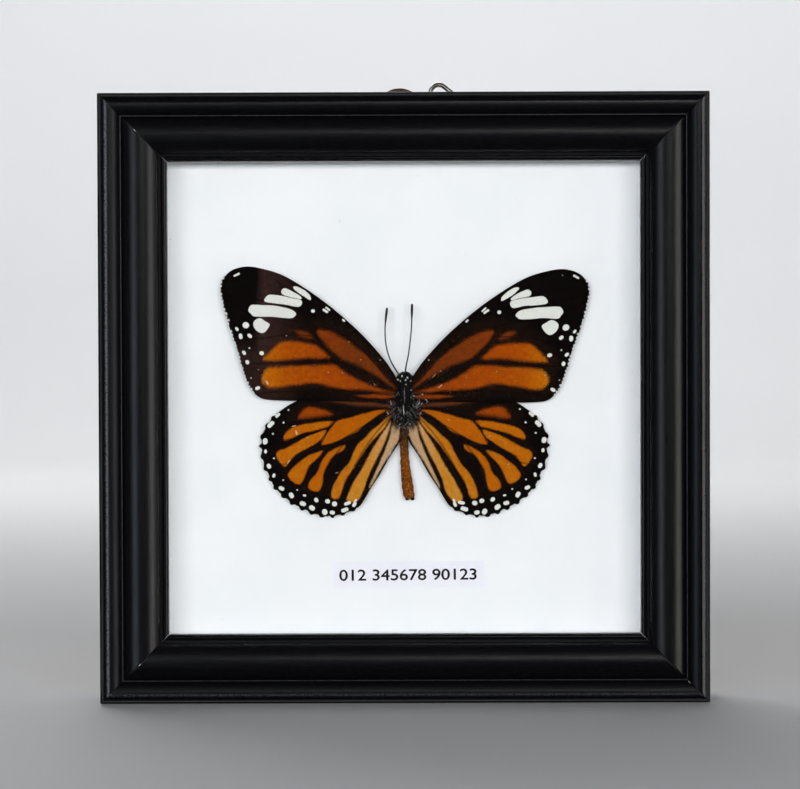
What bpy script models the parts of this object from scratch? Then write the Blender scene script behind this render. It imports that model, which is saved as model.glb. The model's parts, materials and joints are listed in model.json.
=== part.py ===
"""Framed butterfly specimen: a small mitred picture frame that holds one pinned-out butterfly.

X runs to the right and Z up, and Y runs from the viewer towards the wall. The origin is the
middle of the frame's underside. Lengths are written in millimetres and turned into metres by MM.
"""

import math

import bmesh
import bpy
from mathutils import Vector

MM = 0.001

# Frame and moulding. A moulding point is (inset from the outer edge, height above the back plane).
FRAME_SIDE = 127.0
FRAME_DEPTH = 20.0
BACK_Y = FRAME_DEPTH / 2
RAIL_WIDTH = 14.1
REBATE_WIDTH = 5.0
REBATE_INSET = RAIL_WIDTH - REBATE_WIDTH
MITRE_GAP = 0.1
BEAD_CENTRE = 2.37
BEAD_HALF_WIDTH = 1.97
BEAD_RADIUS = 2.15
BEAD_STEPS = 12
TORUS_CENTRE = 8.58
TORUS_HALF_WIDTH = 3.6
TORUS_RADIUS = 4.8
TORUS_TOP = FRAME_DEPTH - 0.6
TORUS_STEPS = 18
LIP_BEAD_CENTRE = 13.4
LIP_BEAD_HALF_WIDTH = 0.34
LIP_BEAD_RADIUS = 0.42
LIP_BEAD_RISE = 0.25
LIP_BEAD_STEPS = 4
GROOVE_DEPTH = 0.45
FILLET_DROP = 0.2
SCOOP_DROP = 0.6

# Layers in the rebate, as heights above the back plane. GAP keeps faces that meet apart.
GAP = 0.1
BOARD_BACK = 0.85
BOARD_THICKNESS = 1.9
PANEL_THICKNESS = 2.8
SPACER_HEIGHT = 5.9
SPACER_WIDTH = 3.6
GLASS_THICKNESS = 1.5
LIP_FRONT = 15.2
LIP_BEVEL = 0.5
POCKET_CLEARANCE = 0.25
PANEL_BACK = BOARD_BACK + BOARD_THICKNESS + GAP
PANEL_FRONT = PANEL_BACK + PANEL_THICKNESS
SPACER_BACK = PANEL_FRONT + GAP
GLASS_BACK = SPACER_BACK + SPACER_HEIGHT + GAP
LIP_BACK = GLASS_BACK + GLASS_THICKNESS + GAP

# Framer's points that hold the back board in.
POINT_LENGTH = 8.0
POINT_WIDTH = 5.0
POINT_THICKNESS = 0.4

# Printed label.
LABEL_SIZE = (31.8, 5.5)
LABEL_CENTRE = (0.9, 25.8)
LABEL_THICKNESS = 0.15
LABEL_GAP = 0.05
LABEL_TILT = math.radians(0.4)

# Hanger: a strap that turns on one screw, with a ring hinged in its knuckle.
SCREW_X = -0.8
SCREW_Z = 124.0
STRAP_GAP = 0.1
STRAP_THICKNESS = 1.0
STRAP_END_RADIUS = 5.2
STRAP_END_STEPS = 26
STRAP_OPENING = math.radians(50)
NECK_OFFSET = 4.7
KNUCKLE_RADIUS = 1.1
KNUCKLE_LENGTH = 7.0
BORE_RADIUS = 0.6
BAR_OFFSET = 6.6
RING_WIRE_RADIUS = 0.5
RING_HALF_HEIGHT = 6.0
RING_SLOPE = math.radians(41)
RING_CORNER_RADIUS = 1.8
RING_TIP_RADIUS = 2.6
SHANK_RADIUS = 1.2
SHANK_LENGTH = 8.0
SHANK_CLEARANCE = 0.1
HOLE_END_CLEARANCE = 0.4
CUT_MARGIN = 1.0
SHANK_TIP_RADIUS = 0.35
SHANK_TIP_LENGTH = 2.0
HEAD_RADIUS = 2.4
HEAD_HEIGHT = 1.5
HEAD_STEPS = 7
CROSS_ARM = 1.35
CROSS_HALF_WIDTH = 0.3
CROSS_FLOOR = 0.6
SHANK_SEGMENTS = 24
BORE_SEGMENTS = 20
RING_CORNER_STEPS = 8
RING_WIRE_STEPS = 4

# Butterfly. Its wings are drawn as (distance out from the body's middle line, height above BODY_Z).
BODY_Z = 62.0
WING_THICKNESS = 0.3
FOREWING_OUTLINE = (
    (3.0, 5.8), (3.2, 7.8), (4.3, 9.5), (6.6, 12.1), (10.8, 16.3), (15.0, 19.9), (19.8, 23.4),
    (25.3, 26.7), (29.8, 28.2), (33.6, 28.7), (37.0, 27.6), (38.8, 24.9), (38.4, 21.0),
    (37.2, 16.6), (35.5, 11.9), (34.2, 7.4), (32.7, 3.6), (30.6, 1.2), (27.6, 0.6), (21.0, 0.5),
    (12.0, 0.5), (5.0, 0.6), (3.1, 1.8),
)
HINDWING_OUTLINE = (
    (3.1, -0.8), (8.0, 1.6), (15.0, 2.2), (21.5, 1.2), (26.4, -1.5), (29.3, -4.4), (30.6, -7.7),
    (30.4, -11.3), (29.4, -14.7), (27.3, -18.2), (24.0, -21.1), (20.3, -23.1), (16.4, -24.0),
    (12.6, -23.4), (9.6, -21.8), (7.0, -17.6), (3.9, -12.6), (1.9, -9.0), (2.5, -5.0),
)
WING_STEPS = 3
FOREWING_SETTING = {"left": math.radians(0.7), "right": math.radians(-0.7)}
FOREWING_HEIGHTS = (9.0, 7.5)
HINDWING_HEIGHTS = (7.9, 6.6)
WING_REACH = 39.0
SIDES = {"left": -1, "right": 1}
ROUND_STEPS = 16

# Body sections: (height above BODY_Z, x of the centre, half width, half depth, centre's height).
THORAX_SECTIONS = (
    (3.8, 0.1, 0.7, 0.8, 8.1), (3.5, 0.1, 1.35, 1.4, 8.1), (2.8, 0.1, 1.85, 1.8, 8.1),
    (1.2, 0.1, 2.35, 2.1, 8.1), (-1.0, 0.1, 2.5, 2.15, 8.05), (-3.0, 0.05, 2.25, 2.0, 7.9),
    (-4.4, 0.0, 1.6, 1.55, 7.7), (-5.0, 0.0, 0.9, 0.9, 7.6),
)
HEAD_SECTIONS = (
    (6.75, 0.15, 0.5, 0.5, 7.9), (6.5, 0.15, 1.05, 1.0, 7.9), (5.8, 0.15, 1.55, 1.35, 7.9),
    (5.0, 0.15, 1.75, 1.45, 7.9), (4.3, 0.15, 1.35, 1.2, 7.95), (4.0, 0.15, 0.8, 0.8, 8.0),
)
ABDOMEN_SECTIONS = (
    (-5.3, -0.1, 0.7, 0.7, 7.4), (-6.0, -0.1, 0.95, 0.95, 7.3), (-8.0, -0.1, 0.92, 0.92, 7.15),
    (-11.0, 0.0, 0.9, 0.92, 7.0), (-14.0, 0.25, 1.02, 1.0, 7.0), (-16.5, 0.55, 1.16, 1.15, 7.0),
    (-18.5, 0.8, 1.2, 1.2, 7.0), (-19.8, 0.95, 1.15, 1.1, 6.95), (-20.4, 1.0, 0.7, 0.7, 6.9),
)
# Antennae: (x, height above BODY_Z, height above the back plane) along the shaft.
ANTENNA_ROUTES = {
    "left": ((-1.4, 6.6, 8.6), (-2.1, 7.8, 8.8), (-3.06, 9.7, 9.0), (-3.8, 12.5, 9.1),
             (-3.98, 16.1, 9.2), (-3.56, 20.3, 9.1)),
    "right": ((0.25, 6.95, 8.6), (0.45, 8.2, 8.8), (0.91, 10.4, 9.0), (1.3, 13.4, 9.1),
              (1.58, 16.4, 9.2), (1.71, 21.1, 9.1)),
}
ANTENNA_RADIUS = 0.13
CLUB_RADIUS = 0.26
CLUB_SHARE = 0.2
ANTENNA_STEPS = 5
ANTENNA_ROUND_STEPS = 2


def clear_scene():
    for obj in list(bpy.data.objects):
        bpy.data.objects.remove(obj, do_unlink=True)


def make_material(name, colour, roughness, metallic=0.0, transmission=0.0):
    material = bpy.data.materials.new(name)
    material.use_nodes = True
    shader = material.node_tree.nodes["Principled BSDF"]
    shader.inputs["Base Color"].default_value = (*colour, 1.0)
    shader.inputs["Roughness"].default_value = roughness
    shader.inputs["Metallic"].default_value = metallic
    shader.inputs["Transmission Weight"].default_value = transmission
    return material


def make_materials():
    return {
        "moulding": make_material("black_moulding", (0.010, 0.010, 0.013), 0.38),
        "glass": make_material("picture_glass", (0.95, 0.98, 0.97), 0.02, transmission=1.0),
        "card": make_material("white_card", (0.85, 0.89, 0.92), 0.9),
        "board": make_material("brown_hardboard", (0.22, 0.12, 0.06), 0.75),
        "label": make_material("label_paper", (0.87, 0.87, 0.92), 0.8),
        "steel": make_material("plated_steel", (0.62, 0.60, 0.57), 0.3, metallic=1.0),
        "wing": make_material("wing_orange", (0.62, 0.20, 0.03), 0.8),
        "body": make_material("dark_body", (0.02, 0.018, 0.018), 0.85),
        "abdomen": make_material("abdomen_brown", (0.38, 0.17, 0.05), 0.8),
    }


def add_object(name, mesh_or_curve, material, location=(0.0, 0.0, 0.0)):
    """A new object at a location given in millimetres."""
    obj = bpy.data.objects.new(name, mesh_or_curve)
    bpy.context.scene.collection.objects.link(obj)
    obj.location = Vector(location) * MM
    if material is not None and not mesh_or_curve.materials:
        mesh_or_curve.materials.append(material)
    return obj


def mesh_of(name, rings):
    """A mesh in metres from rings of millimetre points: quads between them and a cap at each end."""
    bm = bmesh.new()
    loops = [[bm.verts.new(Vector(point) * MM) for point in ring] for ring in rings]
    for first, second in zip(loops, loops[1:]):
        for i in range(len(first)):
            j = (i + 1) % len(first)
            bm.faces.new((first[i], first[j], second[j], second[i]))
    bm.faces.new(reversed(loops[0]))
    bm.faces.new(loops[-1])
    bmesh.ops.recalc_face_normals(bm, faces=bm.faces)
    mesh = bpy.data.meshes.new(name)
    bm.to_mesh(mesh)
    bm.free()
    return mesh


def shade_round(mesh, degrees=35.0):
    mesh.shade_smooth()
    mesh.set_sharp_from_angle(angle=math.radians(degrees))


def add_box(name, low, high, material, turn=0.0):
    """A box between two corners in millimetres, turned about Y round its own middle."""
    middle = (Vector(low) + Vector(high)) / 2
    half = (Vector(high) - Vector(low)) / 2
    corners = ((-1, -1), (1, -1), (1, 1), (-1, 1))
    rings = [[(x * half.x, y * half.y, z * half.z) for x, y in corners] for z in (-1, 1)]
    obj = add_object(name, mesh_of(name, rings), material, middle)
    obj.rotation_euler.y = turn
    return obj


def combine(obj, other, operation):
    """Adds another object's shape or takes it out. The other stays as a hidden wire guide."""
    other.hide_render = True
    other.display_type = "WIRE"
    modifier = obj.modifiers.new(other.name, "BOOLEAN")
    modifier.operation = operation
    modifier.object = other


def cut(obj, cutter):
    combine(obj, cutter, "DIFFERENCE")


def circle(radius, steps, centre=(0.0, 0.0), start=0.0):
    turns = [start + 2 * math.pi * i / steps for i in range(steps)]
    return [(centre[0] + radius * math.cos(t), centre[1] + radius * math.sin(t)) for t in turns]


def crown(centre, half_width, radius, top, steps):
    """Points along a round crown whose crest is at height top, from its outer to its inner edge."""
    edge = math.asin(half_width / radius)
    turns = [edge * (2 * i / steps - 1) for i in range(steps + 1)]
    return [
        (centre + radius * math.sin(t), top - radius * (1 - math.cos(t))) for t in turns
    ]


def smooth_outline(points, steps):
    """A closed Catmull-Rom curve through the points, with some steps between each two."""
    count = len(points)
    outline = []
    for i in range(count):
        p0, p1, p2, p3 = (Vector(points[(i + k) % count]) for k in (-1, 0, 1, 2))
        for step in range(steps):
            t = step / steps
            outline.append(catmull_rom(p0, p1, p2, p3, t))
    return outline


def catmull_rom(p0, p1, p2, p3, t):
    return 0.5 * (
        2 * p1
        + (p2 - p0) * t
        + (2 * p0 - 5 * p1 + 4 * p2 - p3) * t * t
        + (3 * p1 - p0 - 3 * p2 + p3) * t ** 3
    )


def smooth_route(points, steps):
    """An open Catmull-Rom curve through the points."""
    first = 2 * Vector(points[0]) - Vector(points[1])
    last = 2 * Vector(points[-1]) - Vector(points[-2])
    padded = [first, *map(Vector, points), last]
    route = []
    for i in range(len(points) - 1):
        route += [catmull_rom(*padded[i:i + 4], step / steps) for step in range(steps)]
    return [*route, Vector(points[-1])]


def moulding_profile():
    """The rail's section, from its outer back corner over the front to the rebate."""
    bead = crown(BEAD_CENTRE, BEAD_HALF_WIDTH, BEAD_RADIUS, FRAME_DEPTH, BEAD_STEPS)
    torus = crown(TORUS_CENTRE, TORUS_HALF_WIDTH, TORUS_RADIUS, TORUS_TOP, TORUS_STEPS)
    bead_foot = bead[-1][1]
    torus_foot = torus[0][1]
    lip_top = LIP_FRONT + LIP_BEAD_RISE
    lip_bead = crown(LIP_BEAD_CENTRE, LIP_BEAD_HALF_WIDTH, LIP_BEAD_RADIUS, lip_top, LIP_BEAD_STEPS)
    outer_wall = [(0.0, 0.0), (0.0, bead_foot - 0.2), (0.2, bead_foot)]
    groove = [(4.46, bead_foot - GROOVE_DEPTH), (4.6, bead_foot - GROOVE_DEPTH)]
    fillet = [(4.66, bead_foot - FILLET_DROP), (4.9, bead_foot - FILLET_DROP)]
    scoop = [(12.5, torus_foot - SCOOP_DROP), (12.75, LIP_FRONT + 0.3)]
    lip = [(RAIL_WIDTH, LIP_FRONT - LIP_BEVEL), (RAIL_WIDTH, LIP_BACK)]
    rebate = [(REBATE_INSET, LIP_BACK), (REBATE_INSET, 0.0)]
    return outer_wall + bead + groove + fillet + torus + scoop + lip_bead + lip + rebate


def rail_mesh():
    """The bottom rail, round the frame's middle, with a 45 degree mitre at each end."""
    half = FRAME_SIDE / 2
    back_off = MITRE_GAP / 2 * math.sqrt(2)
    profile = moulding_profile()
    rings = []
    for side in (-1, 1):
        rings.append([
            (side * (half - inset - back_off), BACK_Y - height, inset - half)
            for inset, height in profile
        ])
    mesh = mesh_of("rail", rings)
    shade_round(mesh, 25.0)
    return mesh


def add_rails(materials):
    mesh = rail_mesh()
    rails = {}
    for turn, side in enumerate(("bottom", "left", "top", "right")):
        rail = add_object(f"rail_{side}", mesh, materials["moulding"], (0, 0, FRAME_SIDE / 2))
        rail.rotation_euler.y = turn * math.pi / 2
        rails[side] = rail
    return rails


def pocket_box(name, back, thickness, material):
    """A square sheet that fills the rebate, at a height above the back plane."""
    half = FRAME_SIDE / 2 - REBATE_INSET - POCKET_CLEARANCE
    middle = FRAME_SIDE / 2
    low = (-half, BACK_Y - back - thickness, middle - half)
    high = (half, BACK_Y - back, middle + half)
    return add_box(name, low, high, material)


def add_spacers(materials):
    """Four strips under the lip that hold the panel off the glass. The side ones stand between."""
    outer = FRAME_SIDE / 2 - REBATE_INSET - POCKET_CLEARANCE
    inner = outer - SPACER_WIDTH
    middle = FRAME_SIDE / 2
    y_low = BACK_Y - SPACER_BACK - SPACER_HEIGHT
    y_high = BACK_Y - SPACER_BACK
    spans = {
        "top": ((-outer, inner), (outer, outer)),
        "bottom": ((-outer, -outer), (outer, -inner)),
        "left": ((-outer, -inner + GAP), (-inner, inner - GAP)),
        "right": ((inner, -inner + GAP), (outer, inner - GAP)),
    }
    for side, (low, high) in spans.items():
        low_corner = (low[0], y_low, middle + low[1])
        high_corner = (high[0], y_high, middle + high[1])
        add_box(f"spacer_{side}", low_corner, high_corner, materials["card"])


def add_points(materials):
    """One flat steel point in the middle of each rail, over the edge of the back board."""
    y_high = BACK_Y - BOARD_BACK + GAP + POINT_THICKNESS
    reach = FRAME_SIDE / 2 - REBATE_INSET - GAP - POINT_LENGTH / 2
    middle = FRAME_SIDE / 2
    half = (POINT_LENGTH / 2, POINT_THICKNESS / 2, POINT_WIDTH / 2)
    places = {"left": (-1, 0), "right": (1, 0), "bottom": (0, -1), "top": (0, 1)}
    for side, (x, z) in places.items():
        centre = Vector((x * reach, y_high - POINT_THICKNESS / 2, middle + z * reach))
        size = half if x else (half[2], half[1], half[0])
        low = centre - Vector(size)
        high = centre + Vector(size)
        add_box(f"point_{side}", low, high, materials["steel"])


def add_label(materials):
    y_high = BACK_Y - PANEL_FRONT - LABEL_GAP
    low = (LABEL_CENTRE[0] - LABEL_SIZE[0] / 2, y_high - LABEL_THICKNESS,
           LABEL_CENTRE[1] - LABEL_SIZE[1] / 2)
    high = (LABEL_CENTRE[0] + LABEL_SIZE[0] / 2, y_high, LABEL_CENTRE[1] + LABEL_SIZE[1] / 2)
    add_box("label", low, high, materials["label"], turn=-LABEL_TILT)


def add_frame(materials):
    rails = add_rails(materials)
    pocket_box("glass_pane", GLASS_BACK, GLASS_THICKNESS, materials["glass"])
    add_spacers(materials)
    pocket_box("mounting_panel", PANEL_BACK, PANEL_THICKNESS, materials["card"])
    pocket_box("back_board", BOARD_BACK, BOARD_THICKNESS, materials["board"])
    add_points(materials)
    add_label(materials)
    return rails


def turned_mesh(name, profile, steps):
    """A solid turned about the Y axis, from (radius, y) points that run along it."""
    rings = []
    for radius, y in profile:
        rings.append([(x, y, z) for x, z in circle(radius, steps)])
    mesh = mesh_of(name, rings)
    shade_round(mesh)
    return mesh


def add_drill(name, y_low, y_high, location):
    """A cutter for the screw's clearance hole."""
    radius = SHANK_RADIUS + SHANK_CLEARANCE
    mesh = turned_mesh(name, ((radius, y_low), (radius, y_high)), SHANK_SEGMENTS)
    return add_object(name, mesh, None, location)


def add_screw(materials, top_rail):
    """The hanger's round-headed screw, its hole in the top rail and the cross in its head."""
    seat = BACK_Y + STRAP_GAP + STRAP_THICKNESS + GAP
    tip_end = SHANK_TIP_LENGTH - SHANK_LENGTH
    profile = [(SHANK_TIP_RADIUS, -SHANK_LENGTH), (SHANK_RADIUS, tip_end), (SHANK_RADIUS, 0.0)]
    for i in range(HEAD_STEPS):
        turn = math.pi / 2 * i / HEAD_STEPS
        profile.append((HEAD_RADIUS * math.cos(turn), HEAD_HEIGHT * math.sin(turn)))
    profile = [(radius, seat + y) for radius, y in profile]
    place = (SCREW_X, 0.0, SCREW_Z)
    mesh = turned_mesh("screw", profile, SHANK_SEGMENTS)
    screw = add_object("hanger_screw", mesh, materials["steel"], place)
    cut(screw, add_cross_cutter(seat))
    hole_floor = seat - SHANK_LENGTH - HOLE_END_CLEARANCE
    cut(top_rail, add_drill("screw_hole", hole_floor, BACK_Y + CUT_MARGIN, place))


def add_cross_cutter(seat):
    """A plus-shaped prism that leaves the driver's recess in the screw head."""
    arm = CROSS_ARM
    half = CROSS_HALF_WIDTH
    outline = (
        (arm, -half), (arm, half), (half, half), (half, arm), (-half, arm), (-half, half),
        (-arm, half), (-arm, -half), (-half, -half), (-half, -arm), (half, -arm), (half, -half),
    )
    ends = (seat + CROSS_FLOOR, seat + HEAD_HEIGHT + CUT_MARGIN)
    rings = [[(x, y, z) for x, z in outline] for y in ends]
    return add_object("screw_cross", mesh_of("screw_cross", rings), None, (SCREW_X, 0.0, SCREW_Z))


def strap_outline():
    """The strap's plate round its screw: a round end that narrows to the knuckle's length."""
    neck = KNUCKLE_LENGTH / 2
    step_turn = 2 * (math.pi - STRAP_OPENING) / STRAP_END_STEPS
    turns = [STRAP_OPENING + step_turn * i for i in range(STRAP_END_STEPS + 1)]
    round_end = [(STRAP_END_RADIUS * math.cos(t), STRAP_END_RADIUS * math.sin(t)) for t in turns]
    above = [(BAR_OFFSET, neck), (NECK_OFFSET, neck)]
    below = [(NECK_OFFSET, -neck), (BAR_OFFSET, -neck)]
    return above + round_end + below


def add_strap(materials):
    """The strap lies on the rail's back. Its origin is on the screw's axis."""
    low = BACK_Y + STRAP_GAP
    high = low + STRAP_THICKNESS
    rings = [[(x, y, z) for x, z in strap_outline()] for y in (low, high)]
    place = (SCREW_X, 0.0, SCREW_Z)
    strap = add_object("hanger_strap", mesh_of("strap", rings), materials["steel"], place)
    knuckle_y = low + KNUCKLE_RADIUS
    knuckle = add_bar("knuckle", KNUCKLE_RADIUS, KNUCKLE_LENGTH, knuckle_y, SHANK_SEGMENTS)
    combine(strap, knuckle, "UNION")
    bore_length = KNUCKLE_LENGTH + 2 * CUT_MARGIN
    bore = add_bar("knuckle_bore", BORE_RADIUS, bore_length, knuckle_y, BORE_SEGMENTS)
    cut(strap, bore)
    cut(strap, add_drill("strap_hole", low - CUT_MARGIN, high + CUT_MARGIN, place))
    return knuckle_y


def add_bar(name, radius, length, y, steps):
    """An upright round bar on the ring's hinge axis."""
    rings = [[(x, dy, z) for x, dy in circle(radius, steps)] for z in (-length / 2, length / 2)]
    place = (SCREW_X + BAR_OFFSET, y, SCREW_Z)
    return add_object(name, mesh_of(name, rings), None, place)


def rounded_loop(corners, radii, steps):
    """A closed loop of straight runs whose corners are turned by arcs of the given radii."""
    count = len(corners)
    loop = []
    for i, radius in enumerate(radii):
        corner = Vector(corners[i])
        before = (Vector(corners[i - 1]) - corner).normalized()
        after = (Vector(corners[(i + 1) % count]) - corner).normalized()
        half_angle = before.angle(after) / 2
        middle = corner + (before + after).normalized() * radius / math.sin(half_angle)
        start = corner + before * radius / math.tan(half_angle) - middle
        end = corner + after * radius / math.tan(half_angle) - middle
        sweep = math.pi - 2 * half_angle
        for step in range(steps + 1):
            t = step / steps
            part = math.sin((1 - t) * sweep) * start + math.sin(t * sweep) * end
            loop.append(middle + part / math.sin(sweep))
    return loop


def add_ring(materials, bar_y):
    """The wire ring: a straight bar in the knuckle and two sides that meet in a rounded tip."""
    half_corner = (math.pi / 2 - RING_SLOPE) / 2
    above_arc = RING_CORNER_RADIUS * (1 / math.tan(half_corner) - 1)
    corner = RING_HALF_HEIGHT + above_arc
    tip = corner / math.tan(RING_SLOPE)
    corners = ((0.0, -corner), (0.0, corner), (tip, 0.0))
    radii = (RING_CORNER_RADIUS, RING_CORNER_RADIUS, RING_TIP_RADIUS)
    loop = rounded_loop(corners, radii, RING_CORNER_STEPS)
    curve = bpy.data.curves.new("ring", "CURVE")
    curve.dimensions = "3D"
    curve.bevel_depth = RING_WIRE_RADIUS * MM
    curve.bevel_resolution = RING_WIRE_STEPS
    spline = curve.splines.new("POLY")
    spline.points.add(len(loop) - 1)
    for point, (x, z) in zip(spline.points, loop):
        point.co = (x * MM, 0.0, z * MM, 1.0)
    spline.use_cyclic_u = True
    place = (SCREW_X + BAR_OFFSET, bar_y, SCREW_Z)
    add_object("hanger_ring", curve, materials["steel"], place)


def add_hanger(materials, top_rail):
    add_screw(materials, top_rail)
    bar_y = add_strap(materials)
    add_ring(materials, bar_y)


def wing_rings(outline, side, turn, heights):
    """The back and front outlines of a wing that slopes from its root towards the panel."""
    root, tip = heights
    pivot = Vector(outline[0])
    rings = []
    for lift in (0.0, WING_THICKNESS):
        ring = []
        for point in smooth_outline(outline, WING_STEPS):
            arm = point - pivot
            out = pivot.x + arm.x * math.cos(turn) + arm.y * math.sin(-turn)
            up = pivot.y + arm.y * math.cos(turn) + arm.x * math.sin(turn)
            height = root + (tip - root) * out / WING_REACH + lift
            ring.append((side * out, BACK_Y - height, BODY_Z + up))
        rings.append(ring)
    return rings


def add_wings(materials):
    for name, side in SIDES.items():
        fore = wing_rings(FOREWING_OUTLINE, side, FOREWING_SETTING[name], FOREWING_HEIGHTS)
        hind = wing_rings(HINDWING_OUTLINE, side, 0.0, HINDWING_HEIGHTS)
        add_object(f"forewing_{name}", mesh_of(f"forewing_{name}", fore), materials["wing"])
        add_object(f"hindwing_{name}", mesh_of(f"hindwing_{name}", hind), materials["wing"])


def add_body_piece(name, sections, material):
    """A lofted piece whose rings lie across the body's length."""
    rings = []
    for up, centre, half_width, half_depth, height in sections:
        ring = [
            (centre + half_width * x, BACK_Y - height - half_depth * y, BODY_Z + up)
            for x, y in circle(1.0, ROUND_STEPS)
        ]
        rings.append(ring)
    mesh = mesh_of(name, rings)
    shade_round(mesh, 60.0)
    return add_object(name, mesh, material)


def add_antenna(side, material):
    route = smooth_route(ANTENNA_ROUTES[side], ANTENNA_STEPS)
    curve = bpy.data.curves.new(f"antenna_{side}", "CURVE")
    curve.dimensions = "3D"
    curve.bevel_depth = ANTENNA_RADIUS * MM
    curve.bevel_resolution = ANTENNA_ROUND_STEPS
    curve.use_fill_caps = True
    spline = curve.splines.new("POLY")
    spline.points.add(len(route) - 1)
    last = len(route) - 1
    for i, (point, (x, up, height)) in enumerate(zip(spline.points, route)):
        point.co = (x * MM, (BACK_Y - height) * MM, (BODY_Z + up) * MM, 1.0)
        into_club = max(0.0, (i / last - 1 + CLUB_SHARE) / CLUB_SHARE)
        point.radius = 1 + (CLUB_RADIUS / ANTENNA_RADIUS - 1) * math.sin(into_club * math.pi * 0.75)
    add_object(f"antenna_{side}", curve, material)


def add_butterfly(materials):
    add_wings(materials)
    add_body_piece("thorax", THORAX_SECTIONS, materials["body"])
    add_body_piece("head", HEAD_SECTIONS, materials["body"])
    add_body_piece("abdomen", ABDOMEN_SECTIONS, materials["abdomen"])
    for side in SIDES:
        add_antenna(side, materials["body"])


def main():
    clear_scene()
    materials = make_materials()
    rails = add_frame(materials)
    add_hanger(materials, rails["top"])
    add_butterfly(materials)


main()
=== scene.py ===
"""Looks of the framed butterfly specimen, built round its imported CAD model.

X runs to the right, Z up and Y from the viewer towards the wall. Lengths are in millimetres and
become metres by MM. A wing is drawn as (distance out from the body's middle line, height above
BODY_Z), the same for both sides, and is mirrored and turned into its place.
"""

import json
import math
import random

import bmesh
import bpy
import numpy as np
from mathutils import Matrix, Vector, noise
from mathutils.geometry import delaunay_2d_cdt

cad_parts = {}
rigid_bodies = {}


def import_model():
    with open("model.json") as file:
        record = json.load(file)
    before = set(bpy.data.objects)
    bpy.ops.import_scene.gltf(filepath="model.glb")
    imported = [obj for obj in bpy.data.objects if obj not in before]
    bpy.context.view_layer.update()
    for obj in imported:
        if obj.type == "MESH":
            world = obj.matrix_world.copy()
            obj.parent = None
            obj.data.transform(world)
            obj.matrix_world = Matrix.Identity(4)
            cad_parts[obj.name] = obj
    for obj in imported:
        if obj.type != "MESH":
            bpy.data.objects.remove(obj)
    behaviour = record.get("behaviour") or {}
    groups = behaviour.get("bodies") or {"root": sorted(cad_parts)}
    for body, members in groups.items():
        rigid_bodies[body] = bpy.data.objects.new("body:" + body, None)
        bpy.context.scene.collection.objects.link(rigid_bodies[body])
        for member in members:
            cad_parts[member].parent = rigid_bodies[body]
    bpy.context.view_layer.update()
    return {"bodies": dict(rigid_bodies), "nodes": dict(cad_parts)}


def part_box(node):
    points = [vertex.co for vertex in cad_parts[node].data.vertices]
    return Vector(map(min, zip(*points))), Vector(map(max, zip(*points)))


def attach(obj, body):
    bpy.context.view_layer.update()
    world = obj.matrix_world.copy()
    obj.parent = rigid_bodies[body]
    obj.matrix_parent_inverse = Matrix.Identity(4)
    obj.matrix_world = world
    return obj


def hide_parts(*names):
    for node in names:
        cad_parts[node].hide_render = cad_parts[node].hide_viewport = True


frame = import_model()

MM = 0.001
NODES = frame["nodes"]


def node_size(node):
    """A CAD node's lowest and highest corner, in millimetres."""
    low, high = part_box(node)
    return low / MM, high / MM


# Measures taken from the frame.
RAIL_LOW, RAIL_HIGH = node_size("rail_bottom")
GLASS_LOW, _ = node_size("glass_pane")
LABEL_LOW, LABEL_HIGH = node_size("label")
FRAME_SIDE = RAIL_HIGH.x - RAIL_LOW.x
BACK_Y = RAIL_HIGH.y
FRAME_DEPTH = BACK_Y - RAIL_LOW.y
RAIL_WIDTH = RAIL_HIGH.z - RAIL_LOW.z

# Moulding, as (inset from the outer edge, height above the back plane).
REBATE_INSET = 9.1
LIP_BACK = BACK_Y - GLASS_LOW.y + 0.1
LIP_FRONT = 15.2
BEAD = {"centre": 2.37, "half_width": 1.97, "radius": 2.15, "top": FRAME_DEPTH, "steps": 22}
TORUS = {"centre": 8.58, "half_width": 3.6, "radius": 4.8, "top": FRAME_DEPTH - 0.6, "steps": 34}
LIP_BEAD = {"centre": 13.42, "half_width": 0.38, "radius": 0.56, "top": LIP_FRONT + 0.25, "steps": 12}
MITRE_OFFSET = 0.03
LIP_OPENING = 0.11
RING_SWELL = 0.05

# Insets of the places where the paint looks different, or where the mitres begin to open.
HANDLED_INSET = 1.65
DUSTY_INSET = 3.5
FILLET_INSET = 4.78
OPENING_INSET = 11.5
HOLLOW_INSET = 12.3
LIP_EDGE_INSET = 13.7

# Butterfly.
BODY_Z = 62.0
FOREWING_OUTLINE = (
    (1.7, 5.6), (2.8, 7.4), (4.1, 9.2), (6.6, 12.1), (8.6, 14.2), (10.8, 16.3), (15.0, 19.9),
    (19.8, 23.4), (25.3, 26.7), (29.8, 28.2), (33.6, 28.7), (37.0, 27.6), (38.8, 24.9), (38.4, 21.0),
    (37.2, 16.6), (35.5, 11.9), (34.2, 7.4), (32.7, 3.6), (30.6, 1.2), (27.6, 0.6), (21.0, 0.5),
    (12.0, 0.5), (5.0, 0.6), (2.4, 0.7), (1.4, 1.9), (1.3, 3.8),
)
HINDWING_OUTLINE = (
    (1.2, 0.2), (3.6, 1.0), (8.0, 1.6), (15.0, 2.2), (21.5, 1.2), (26.4, -1.5), (29.2, -4.3),
    (30.4, -7.6), (30.2, -11.2), (29.2, -14.4), (27.2, -18.1), (24.0, -20.9), (20.3, -22.9),
    (16.4, -23.9), (12.6, -23.2), (9.6, -21.7), (7.0, -17.6), (5.2, -14.9), (3.2, -11.4), (1.1, -8.1),
    (0.85, -6.8), (1.1, -4.8), (1.2, -2.0),
)

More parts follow.
